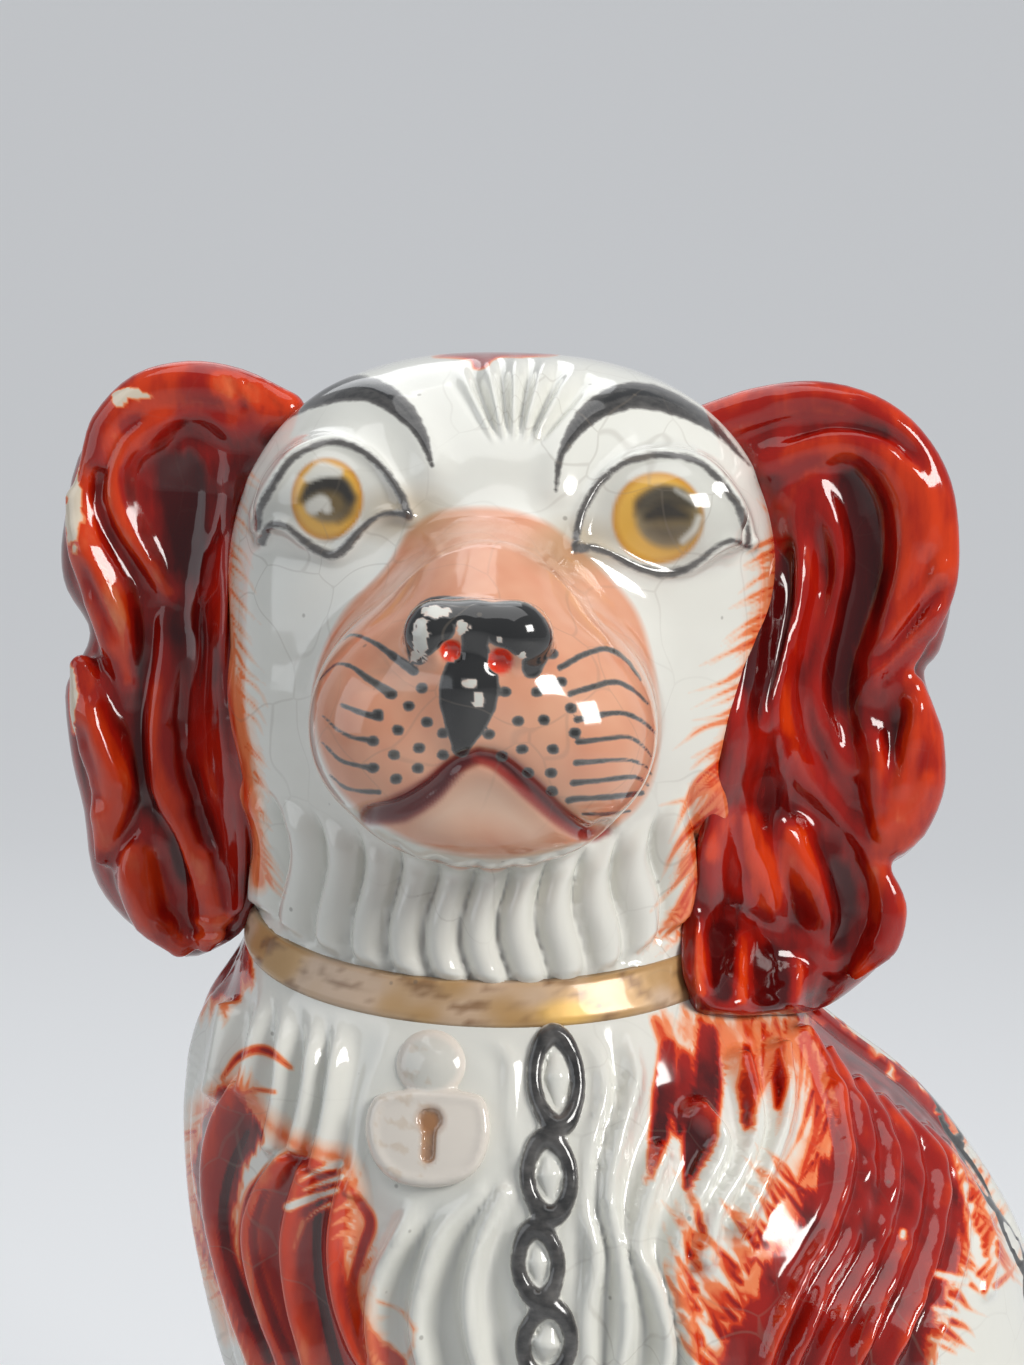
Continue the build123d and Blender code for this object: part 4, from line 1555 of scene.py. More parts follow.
    def paint_eyes(self, palette: Palette, seen: Array) -> None:
        """Paint whites, irises, pupils, lids and brows.

        Args:
            palette: the paint.
            seen: which points face the picture.
        """
        face = self.face
        eyes = zip(face.upper_lids, face.lower_lids, face.irises, face.pupils)
        for upper, lower, iris, pupil in eyes:
            white = palette.patch(tuple(upper) + tuple(lower[::-1][1:-1]), 4.0) * seen
            palette.lay(Enamel.WHITE_AND_HIGHLIGHT, white)
            ends = (lower[-1], lower[0])
            inner = ends[int(np.argmin([abs(spot[0] - face.middle) for spot in ends]))]
            centre, half = iris[:2], iris[2:]
            # painted shade: a soft grey-brown cloud at the inner corner of each eye
            palette.glow(Enamel.EYE_CORNER_SHADE, inner, (44, 26), seen, 0.55, 0.95)
            palette.glow(Enamel.AMBER, centre, half, white, 1.0, 0.10)
            palette.glow(Enamel.YELLOW, centre, (half[0] - 4, half[1] - 4), white, 0.9, 0.20)
            centre, half = pupil[:2], pupil[2:]
            palette.glow(Enamel.SMOKE, centre, half, white, 0.95, 0.25)
            palette.glow(Enamel.OLIVE, (centre[0] + 4, centre[1] + 5), (half[0] * 0.8, half[1] * 0.8),
                         white, 0.8, 0.7)
            palette.stroke("black", upper, (10, 12, 10, 10, 10, 11, 12), seen, 0.58, 8.0)
            palette.stroke("black", lower, (13, 9, 11, 13, 11, 8, 10), seen, 0.58, 8.0)
        for line, widths, strength in face.pupil_strokes:
            palette.stroke(Enamel.BLACK, line, widths, seen, strength, 9.0)
        # painted highlights on the eyes, with one chip in the left pupil's black
        for line, widths, strength in face.eye_highlights_and_chip:
            palette.stroke(Enamel.WHITE_AND_HIGHLIGHT, line, widths, seen, strength, 5.0)
        for brow, widths in zip(face.brows, face.brow_widths):
            palette.stroke("black", brow, widths, seen, 0.70, 8.0)
            heart = [(column, row - 3) for column, row in brow[1:-1]]
            palette.stroke("black", heart, [0.45 * w for w in widths[1:-1]], seen, 0.86, 8.0)

    def paint_nose(self, palette: Palette, seen: Array) -> None:
        """Paint the nose black, with its chips and the red nostrils.

        Args:
            palette: the paint.
            seen: which points face the picture.
        """
        face = self.face
        for line, widths in face.nose:
            palette.stroke("black", line, widths, seen, 1.0, 7.0)
        for spot, half in face.nose_lumps:
            centre = CAMERA.lift([spot], face.nose_depth)[0]
            gap = np.linalg.norm((palette.points - centre) / half, axis=1)
            palette.thicken("black", smoothstep(1.35, 1.15, gap) * (1.0 - seen))
        ragged = 0.35 * wave_noise(palette.spots, 12.0, 12)
        for column, row, wide, tall in face.chips:
            reach = np.hypot((palette.px - column) / wide, (palette.py - row) / tall) + ragged
            bare = smoothstep(1.1, 0.8, reach) * seen
            palette.fields["black"] *= 1.0 - bare
            palette.lay(Enamel.WHITE_AND_HIGHLIGHT, bare)
        for column, row, size in face.nostrils:
            palette.glow(Enamel.NOSTRIL, (column, row), (size, size), seen, 1.0, 0.3)
            reach = np.hypot(palette.px - column, palette.py - row)
            palette.fields["black"] *= smoothstep(size * 0.85, size * 1.15, reach) * seen + 1.0 - seen

    def paint_coat(self, palette: Palette, seen: Array, edge: Array) -> None:
        """Paint the red markings of the coat.

        Args:
            palette: the paint.
            seen: which points face the picture.
            edge: the same, out to the figure's outline.
        """
        draw, ragged = np.random.default_rng(31), np.random.default_rng(32)
        coat = self.coat
        streak = wave_noise(palette.points * np.array([1.0, 1.0, 0.2]), 8.0, 6)
        under = smoothstep(216.0, 208.0, palette.points[:, 2] + 0.15 * palette.points[:, 1])
        body, wrap = seen * under, edge * under
        for outline, soft, strength in coat.patches:
            amount = palette.patch(outline, soft, 0.35 * soft if soft > 10.0 else 0.0) * wrap
            palette.thicken("red", amount * (strength + 0.06 * streak))
        for strokes, mask, soft, fade in (
            (coat.strokes, body, 8.0, 0.0), (coat.drips, body, 9.0, -0.32),
            (coat.washes, edge, 30.0, 0.0),
        ):
            for line, widths, strength in strokes:
                palette.stroke("red", line, widths, mask, strength, soft, fade)
        for line, lean, count, width, strength in coat.combs:
            route = curve_through(line)
            for number in range(count):
                place = (number + draw.uniform(0.1, 0.9)) / count * (len(route) - 1)
                start = route[int(place)] + (route[min(int(place) + 1, len(route) - 1)]
                                             - route[int(place)]) * (place % 1.0)
                reach = np.array(lean) * draw.uniform(0.6, 1.25)
                start = start - reach * ragged.uniform(-0.25, 0.40)
                bend = np.array([-reach[1], reach[0]]) * draw.uniform(-0.12, 0.12)
                line = (start, start + reach * 0.5 + bend, start + reach)
                thick = strength * draw.uniform(0.85, 1.15)
                palette.stroke("red", line, (width, width * 0.8, 1.5), edge, thick, 7.0, 0.55)
        red = palette.fields["red"]
        palette.fields["scrape"] = np.zeros(len(palette.points))
        for line, widths, strength in coat.scrapes:
            palette.stroke("scrape", line, widths, seen, strength, 5.0)
        red *= 1.0 - palette.fields.pop("scrape")
        nape = np.linalg.norm((palette.points - np.array(coat.nape)) / np.array(coat.nape_half), axis=1)
        cover = smoothstep(1.04, 0.92, nape + 0.14 * wave_noise(palette.points, 11.0, 17))
        palette.thicken("red", cover * (0.80 + 0.06 * streak))
        self.paint_links(palette)

    def paint_links(self, palette: Palette) -> None:
        """Carry the chain on in black over the flank and the back.

        Args:
            palette: the paint.
        """
        coat = self.coat
        route = self.clay.settle(curve_through(coat.back_chain), 12)
        near = np.flatnonzero(line_distance(palette.points, route)[0] < 9.0)
        gap, along = line_distance(self.clay.settle(palette.points[near], 4), route)
        length = np.linalg.norm(np.diff(route, axis=0), axis=1).sum()
        step = along * length % coat.link_step - coat.link_step / 2
        ring = np.abs(np.hypot(step / coat.link_half[0], gap / coat.link_half[1]) - 0.76)
        ring = 0.80 * smoothstep(0.32, 0.14, ring) * (along > 0.0) * (along < 1.0)
        palette.thicken("black", ring, near)


@dataclass
class Ear:
    """One long waved ear, pressed from an outline and folded into locks.

    Args:
        name: the piece and the solid that it stands for.
        outline: its edge in the picture.
        locks: runs of raised locks in the picture, with their widths in pixels.
        folds: runs of deep grooves in the picture, with their widths in pixels.
        chips: middles and half sizes of places where the enamel is knocked off.
        bellies: middles, half sizes and rise of full places under the locks.
        tints_and_shading: runs where the enamel is thinner, or thicker if negative, with widths and
            amounts; the thinner runs mostly lie on locks and ridges and the thicker ones in folds and
            hollows, as painted light and shade.
        crests: fine ridges, or grooves where the rise is negative, with widths and rises.
        depth: y of its middle.
        thick: half its thickness.
        sink: how far its middle lies under the body's skin where it is draped.
        drape_step: pixels between the rays that look for the body.
        drape_limit: the farthest that it is brought forward.
        drape_rows: picture rows between which the drape begins.
        cell: size of the skin's cells.
        pixel: width of one pixel at the ear.
    """

    name: str
    outline: Pixels
    locks: Sequence[tuple[Pixels, Sequence[float]]]
    folds: Sequence[tuple[Pixels, Sequence[float]]]
    chips: Sequence[Oval] = ()
    bellies: Sequence[tuple[float, float, float, float, float]] = ()
    tints_and_shading: Sequence[tuple[Pixels, float, float]] = ()
    crests: Sequence[tuple[Pixels, float, float]] = ()
    depth: float = -3.0
    thick: float = 10.0
    sink: float = 3.0
    drape_step: float = 16.0
    drape_limit: float = 34.0
    drape_rows: tuple[float, float] = (500.0, 640.0)
    cell: float = 0.8
    pixel: float = 0.188
    clay: Clay = field(default_factory=Clay)

    def pillow(self, points: Array) -> Array:
        """Distance to the ear's outline, swollen like a pillow.

        Args:
            points: places, one a row.

        Returns:
            One distance a place.
        """
        shape = curve_through(list(self.outline) + [self.outline[0]], 3)[:-1]
        edge = outline_distance(CAMERA.spots(points), shape) * self.pixel
        inner = np.maximum(edge + self.thick, 0.0)
        return np.sqrt(inner ** 2 + (points[:, 1] - self.depth) ** 2) - self.thick

    def build(self, torso: Torso, finish: Glaze) -> None:
        """Model, paint and seat the ear.

        Args:
            torso: the body that it hangs on.
            finish: its glaze.
        """
        edge = CAMERA.lift(self.outline, self.depth)
        low = edge.min(0) - np.array([4, self.thick + 9, 4])
        high = edge.max(0) + np.array([4, self.thick + 4, 4])
        self.clay.solid(self.pillow, low, high, 2.0)
        front = self.depth - self.thick
        for x, y, wide, tall, rise in self.bellies:
            half = (wide * self.pixel, rise + 5.0, tall * self.pixel)
            self.clay.lump(CAMERA.lift([(x, y)], front + 5.0)[0], half, 3.0)
        back = self.depth + self.thick
        for pixels, widths in self.locks:
            for depth in (front + 1.0, back - 1.6):
                line = CAMERA.lift(curve_through(pixels, 4), depth)
                self.clay.tube(line, [w * self.pixel / 2 for w in widths], 2.6)
        for pixels, widths in self.folds:
            line = CAMERA.lift(curve_through(pixels, 4), front - 1.5)
            self.clay.tube(line, [w * self.pixel / 2 for w in widths], 2.6, cut=True,
                           flat=min(1.0, 22.0 / max(widths) + 0.25))
        points, quads = self.clay.skin(low - 2, high + 2, self.cell)
        points = self.clay.settle(points, 1)
        rise = self.relief(points)
        palette = self.paint(points, rise)
        points = self.drape(points + self.clay.slope(points) * rise[:, None], torso)
        mesh = raw_mesh(self.name, points, quads)
        dress(self.name, mesh, palette, finish, (self.name,))

    def relief(self, points: Array) -> Array:
        """Height of the fine ridges and grooves on the ear's front, in millimetres.

        Args:
            points: places, one a row.

        Returns:
            One height a place.
        """
        spots = CAMERA.spots(points)
        height = np.zeros(len(points))
        for pixels, wide, rise in self.crests:
            line = curve_through(pixels)
            near = near_run(spots, line, 3 * wide)
            gap, along = line_distance(spots[near], line)
            taper = smoothstep(0.0, 0.2, along) * smoothstep(1.0, 0.8, along)
            height[near] += rise * np.exp(-(gap / wide) ** 2) * taper
        return height * (0.2 + 0.8 * smoothstep(self.depth, self.depth - 5.0, points[:, 1]))

    def drape(self, points: Array, torso: Torso) -> Array:
        """Bring the ear's lower end forward, to lie on the neck and shoulder.

        Args:
            points: the flat ear's points.
            torso: the body that it lies on.

        Returns:
            The points moved along the camera's rays, so that the picture keeps its outline.
        """
        px, py = CAMERA.project(points)
        step = self.drape_step
        columns, rows = np.arange(40.0, 1000.0, step), np.arange(468.0, 1060.0, step)
        spots = np.stack(np.meshgrid(columns, rows, indexing="ij"), -1).reshape(-1, 2)
        hit = torso.clay.meet(spots)
        hit = np.where(np.abs(torso.clay.at(hit)) < 1.0, hit[:, 1], 60.0)
        need = np.maximum(0.0, self.depth - self.sink - hit).reshape(len(columns), len(rows))
        for _ in range(3):
            wide = np.pad(need, 1, mode="edge")
            need = sum(wide[a:a + len(columns), b:b + len(rows)]
                       for a in range(3) for b in range(3)) / 9.0
        across = np.clip((px - columns[0]) / step, 0, len(columns) - 1.001)
        down = np.clip((py - rows[0]) / step, 0, len(rows) - 1.001)
        i, j = across.astype(int), down.astype(int)
        u, v = across - i, down - j
        shift = (need[i, j] * (1 - u) * (1 - v) + need[i + 1, j] * u * (1 - v)
                 + need[i, j + 1] * (1 - u) * v + need[i + 1, j + 1] * u * v)
        shift = np.minimum(shift, self.drape_limit) * smoothstep(*self.drape_rows, py)
        start = CAMERA.position()
        rays = points - start
        return start + rays * (1.0 - shift / np.abs(rays[:, 1]))[:, None]

    def paint(self, points: Array, rise: Array) -> Palette:
        """Cover the ear in red, thin on the locks and pooled in the folds, which also paints light on
        the crests and shade in the hollows.

        Args:
            points: the ear's points.
            rise: height of the fine relief there.

        Returns:
            The painted colours.
        """
        palette = Palette(points, Enamel.BISCUIT)
        height = np.clip(0.7 * self.pillow(points), -2.0, 2.0) + 1.1 * rise
        streak = wave_noise(points * np.array([1.0, 1.0, 0.22]), 6.0, 3)
        # red thinner on raised places and thicker in hollows: pooled enamel, with painted light on the
        # crests and painted shade in the hollows
        thick = 0.85 - 0.27 * smoothstep(0.2, 2.8, height) + 0.15 * smoothstep(0.0, -1.8, height)
        # runs that lighten ridges and darken grooves and hollows: painted light and shade
        for pixels, wide, thin in self.tints_and_shading:
            gap, _ = line_distance(palette.spots, curve_through(pixels))
            thick = thick - thin * np.exp(-(gap / wide) ** 2)
        red = np.clip(thick + 0.07 * streak, 0.51, 1.0)
        ragged = 0.25 * wave_noise(palette.spots, 14.0, 9)
        rim = smoothstep(self.depth - 2.0, self.depth - 6.0, points[:, 1])
        for column, row, wide, tall in self.chips:
            reach = np.hypot((palette.px - column) / wide, (palette.py - row) / tall) + ragged
            red = red * (1.0 - smoothstep(1.1, 0.85, reach) * rim)
        palette.fields["red"] = red
        return palette


@dataclass
class Limb:
    """A round tapering limb or tail with an optional paw.

    Args:
        name: the piece and the solid that it stands for.
        line: places along it.
        widths: radii along it.
        paw: centre and half sizes of the paw, if any.
        toes: how many toes the paw has.
        strands: how many locks of hair go round it.
        hair: depth of the grooves between them.
        red: heights between which it is painted red.
        cell: size of the skin's cells.
    """

    name: str
    line: Sequence[Place]
    widths: Sequence[float]
    paw: tuple[Place, Place] | None = None
    toes: int = 3
    strands: int = 9
    hair: float = 1.2
    red: tuple[float, float] = (0.0, 0.0)
    cell: float = 1.2
    clay: Clay = field(default_factory=Clay)

    def build(self, finish: Glaze) -> None:
        """Model, paint and seat the limb.

        Args:
            finish: its glaze.
        """
        line = curve_through(self.line)
        self.clay.tube(line, self.widths, 4.0)
        if self.paw is not None:
            centre, half = self.paw
            self.clay.lump(centre, half, 5.0)
            for toe in range(self.toes):
                side = (toe - (self.toes - 1) / 2) / self.toes
                self.clay.lump(
                    (centre[0] - half[0] * 0.72, centre[1] + side * half[1] * 2.0, centre[2] - 2.0),
                    (half[0] * 0.36, half[1] / self.toes * 1.05, half[2] * 0.66), 1.6,
                )
        low, high = self.clay.corners()
        points, quads = self.clay.skin(low - 4, high + 4, self.cell)
        points = points + self.clay.slope(points) * self.comb(points)[:, None]
        mesh = raw_mesh(self.name, points, quads)
        if self.paw is not None:
            cut = bmesh.new()
            cut.from_mesh(mesh)
            bmesh.ops.edgeloop_fill(cut, edges=slice_flat(cut, (0, 0, 0), (0, 0, -1)))
            cut.to_mesh(mesh)
            cut.free()
        points = mesh_points(mesh)
        palette = Palette(points, Enamel.CREAM)
        ragged = 9.0 * wave_noise(points * np.array([1.0, 1.0, 0.25]), 9.0, 16)
        low, high = self.red
        cover = smoothstep(low - 5.0, low + 5.0, points[:, 2] + ragged)
        cover = cover * smoothstep(high + 5.0, high - 5.0, points[:, 2] + ragged)
        # red thicker in the hair's grooves: pooled enamel and painted shade
        groove = 0.06 * self.comb(points) / self.hair
        palette.fields["red"] = cover * (0.76 - groove) * (high > low)
        dress(self.name, mesh, palette, finish, (self.name,))

    def comb(self, points: Array) -> Array:
        """Depth of the combed hair at places, above the paw, as heights below zero.

        Args:
            points: places, one a row.

        Returns:
            Heights in millimetres.
        """
        line = curve_through(self.line)
        line = line[np.argsort(line[:, 2], kind="stable")]
        z = points[:, 2]
        middle = [np.interp(z, line[:, 2], line[:, axis]) for axis in (0, 1)]
        turn = np.arctan2(points[:, 1] - middle[1], points[:, 0] - middle[0])
        lock = np.abs(np.sin(self.strands * turn / 2 + 1.4 * np.sin(z / 13.0)))
        return -self.hair * (1.0 - lock) * smoothstep(26.0, 60.0, z)


@dataclass
class Collar:
    """The gilt band round the neck, tilted down to the front."""

    height: float = 218.5
    tilt: float = 9.0
    width: float = 7.0
    proud: float = 1.0
    bed: float = 1.5
    centre: tuple[float, float] = (-32.5, 0.0)
    loop: tuple[float, float] = (50.0, 54.0)
    around: int = 220
    across: int = 10

    def build(self, torso: Torso, finish: Glaze) -> None:
        """Wrap the band on the neck.

        Args:
            torso: the body that it lies on.
            finish: its gilding.
        """
        turns = np.arange(self.around) * 2 * math.pi / self.around
        slope = math.tan(math.radians(self.tilt))
        rows = []
        for step in range(self.across + 1):
            share = step / self.across
            lift = (share - 0.5) * self.width
            rise = self.proud * math.sqrt(max(0.0, 1.0 - (2 * share - 1.0) ** 4)) - 0.25
            start = np.stack([
                self.centre[0] + self.loop[0] * np.cos(turns),
                self.centre[1] + self.loop[1] * np.sin(turns),
                np.full(self.around, self.height + lift)], 1)
            start[:, 2] += slope * start[:, 1]
            reach = np.ones(self.around)
            axis = np.array([self.centre[0], self.centre[1], 0.0])
            for _ in range(12):
                place = axis + (start - axis) * np.stack([reach, reach, np.ones(self.around)], 1)
                place[:, 2] = self.height + lift + slope * place[:, 1]
                reach -= 0.9 * torso.clay.at(place) / self.loop[0]
            out = torso.clay.slope(place)
            rows.append(place + out * rise)
        rows.append((rows[0] + rows[self.across]) / 2 - torso.clay.slope(rows[0]) * self.bed)
        points = np.vstack(rows)
        faces = []
        total = len(rows)
        for row in range(total):
            for spot in range(self.around):
                after = (spot + 1) % self.around
                faces.append((
                    row * self.around + spot, row * self.around + after,
                    (row + 1) % total * self.around + after, (row + 1) % total * self.around + spot))
        palette = Palette(points, Enamel.GILT)
        worn = smoothstep(-0.2, 0.7, wave_noise(points, 26.0, 11))
        palette.lay(Enamel.ROSE, 0.75 * worn)
        stain = smoothstep(0.25, 0.9, wave_noise(points * np.array([1.0, 1.0, 2.2]), 9.0, 27, 4))
        palette.lay(Enamel.GILT_DARK, 0.9 * stain)
        palette.fields["wear"] = np.clip(0.35 + 0.65 * worn, 0.0, 1.0)
        # a painted highlight of bright gold on the front of the collar
        palette.glow(Enamel.GILT_HIGHLIGHT, (566, 1013), (26, 12), np.ones(len(points)), 0.8, 0.8)
        dress("collar", raw_mesh("collar", points, faces), palette, finish, ("collar",))


@dataclass
class Padlock:
    """The sprigged padlock under the collar: plate, shackle dome and keyhole."""

    plate: Pixels = ((368, 1108), (380, 1094), (420, 1089), (470, 1092), (486, 1103), (490, 1135),
                     (480, 1166), (458, 1183), (425, 1188), (392, 1180), (372, 1158), (365, 1130))
    dome: Disc = (431, 1064, 30)
    keyhole: Disc = (430, 1120, 12)
    stem: tuple[float, float] = (428, 1156)
    rise: float = 2.0
    pixel: float = 0.158
    cell: float = 0.5

    def build(self, torso: Torso, finish: Glaze) -> None:
        """Press the padlock on the chest.

        Args:
            torso: the body that it lies on.
            finish: its glaze.
        """
        shape = curve_through(list(self.plate) + [self.plate[0]], 4)[:-1]
        ground = torso.clay

        def slab(edge: Array, height: Array, top: float) -> Array:
            """Rounded relief inside an edge, up to a height over the chest.

            Args:
                edge: distance to the edge.
                height: height over the chest.
                top: the relief's height.

            Returns:
                One distance a place.
            """
            soft = 1.4
            over = height - top
            blend = np.maximum(soft - np.abs(edge - over), 0.0) / soft
            return np.maximum(np.maximum(edge, over) + blend ** 2 * soft / 4, -height - 2.4)

        def distance(points: Array) -> Array:
            """Distance to the whole padlock.

            Args:
                points: places, one a row.

            Returns:
                One distance a place.
            """
            px, py = CAMERA.project(points)
            height = ground.at(points)
            edge = outline_distance(np.stack([px, py], 1), shape) * self.pixel
            rim = np.exp(-((edge + 1.0) / 0.8) ** 2)
            body = slab(edge, height, self.rise + 0.35 * rim)
            x, y, size = self.dome
            round_edge = (np.hypot(px - x, py - y) - size - 6) * self.pixel
            bulge = self.rise + 0.6 - 0.06 * np.maximum(round_edge + 6.0, 0.0) ** 2
            hoop = slab(round_edge, height, bulge)
            x, y, size = self.keyhole
            hole = np.minimum(np.hypot(px - x, py - y) - size,
                              line_distance(np.stack([px, py], 1), np.array([(x, y), self.stem]))[0]
                              - size * 0.55) * self.pixel
            pit = np.maximum(hole, self.rise - 0.9 - height)
            return np.maximum(np.minimum(body, hoop), -pit)

        clay = Clay()
        centre = ground.meet([self.dome[:2], self.stem]).mean(0)
        clay.solid(distance, centre - np.array([13, 12, 18]), centre + np.array([13, 10, 18]), 1.0)
        points, quads = clay.skin(centre - np.array([15, 14, 20]), centre + np.array([15, 12, 20]),
                                  self.cell)
        palette = Palette(points, Enamel.BLUSH)
        x, y, size = self.dome
        everywhere = np.ones(len(points))
        palette.glow(Enamel.WHITE_AND_HIGHLIGHT, (x, y), (size - 3, size - 3), everywhere, 0.8, 0.2)
        x, y, size = self.keyhole
        palette.glow(Enamel.KEY, (x, y), (size * 1.15, size * 1.15), everywhere, 0.85, 0.7)
        gap, _ = line_distance(palette.spots, np.array([(x, y), self.stem]))
        palette.lay(Enamel.KEY, 0.85 * smoothstep(11.0, 5.0, gap))
        glint = wave_noise(palette.spots, 24.0, 14)
        palette.lay(Enamel.GILT, 0.25 * smoothstep(0.35, 0.9, glint) * (palette.px < 430))
        mesh = raw_mesh("padlock", points, quads)
        dress("padlock", mesh, palette, finish, ("padlock",))


@dataclass
class Chain:
    """The sprigged chain: dark rings round pale ovals, laid down the chest and round the flank.

    Links are (column, row, half width, half height, lean) in picture pixels.
    """

    links: tuple[tuple[float, float, float, float, float], ...] = (
        (556, 1080, 30, 54, 4), (549, 1177, 30, 47, 4), (538, 1264, 28, 44, 4),
        (547, 1343, 32, 43, -8))
    flank: tuple[tuple[float, float], ...] = (
        (-17.0, 139.0), (-13.0, 126.0), (-2.0, 115.0), (13.0, 109.0), (29.0, 109.0), (42.0, 116.0))
    depth: float = -66.0
    band: float = 16.0
    swell: tuple[float, ...] = (1.55, 1.1, 1.0, 1.1, 1.5, 1.1, 1.0, 1.1, 1.55)
    pixel: float = 0.16
    cell: float = 0.5

    def rings(self) -> list[tuple[Array, Array, float]]:
        """Middle lines, long axes and inner half widths of the links, in pixels.

        Returns:
            The three measures of each link.
        """
        spots = CAMERA.spots(curve_through([(x, self.depth, z) for x, z in self.flank], 8))
        steps = np.concatenate([[0.0], np.cumsum(np.linalg.norm(np.diff(spots, axis=0), axis=1))])
        links = list(self.links)
        for place in np.arange(45.0, steps[-1], 84.0):
            ends = [np.array([np.interp(place + d, steps, spots[:, k]) for k in (0, 1)])
                    for d in (-8.0, 8.0)]
            lean = math.degrees(math.atan2(*(ends[1] - ends[0])))
            middle = (ends[0] + ends[1]) / 2
            links.append((middle[0], middle[1], 29.0, 44.0, lean))
        made = []
        for x, y, wide, tall, lean in links:
            turn = math.radians(lean)
            down = np.array([math.sin(turn), math.cos(turn)])
            across = np.array([down[1], -down[0]])
            angles = np.linspace(0.0, 2 * math.pi, 33)[:, None]
            middle = np.array([x, y])
            narrow = 1.0 - 0.16 * np.cos(angles) ** 2
            oval = (middle + across * (wide - self.band / 2) * np.sin(angles) * narrow
                    + down * (tall - self.band / 2) * np.cos(angles))
            axis = middle + down * (tall - self.band - 5) * np.array([[-1.0], [0.0], [1.0]])
            made.append((oval, axis, wide - self.band))
        return made

    def build(self, torso: Torso, finish: Glaze) -> None:
        """Lay the links on the body.

        Args:
            torso: the body that they lie on.
            finish: their enamel.
        """
        clay = Clay()
        rings = self.rings()
        for oval, axis, half in rings:
            widths = [self.band * self.pixel / 2 * w for w in self.swell]
            clay.tube(torso.clay.meet(oval), widths, 1.2)
            line = torso.clay.meet(axis) + np.array([0.0, 0.9, 0.0])
            clay.tube(line, (0.8, half * self.pixel, 0.8), 0.6)
        low, high = clay.corners()
        points, quads = clay.skin(low - 3, high + 3, self.cell)
        palette = Palette(points, Enamel.CREAM)
        black = np.zeros(len(points))
        for oval, _, _ in rings:
            gap, along = line_distance(palette.spots, oval)
            knots = np.linspace(0.0, 1.0, len(self.swell))
            half = self.band / 2 * np.interp(along, knots, self.swell)
            black = np.maximum(black, np.clip((half - gap) / 6.0 + 0.5, 0.0, 1.0))
        palette.fields["black"] = black * (0.70 + 0.12 * wave_noise(points, 6.0, 2))
        mesh = raw_mesh("chain_links", points, quads)
        dress("chain_links", mesh, palette, finish, ("chain_links",))


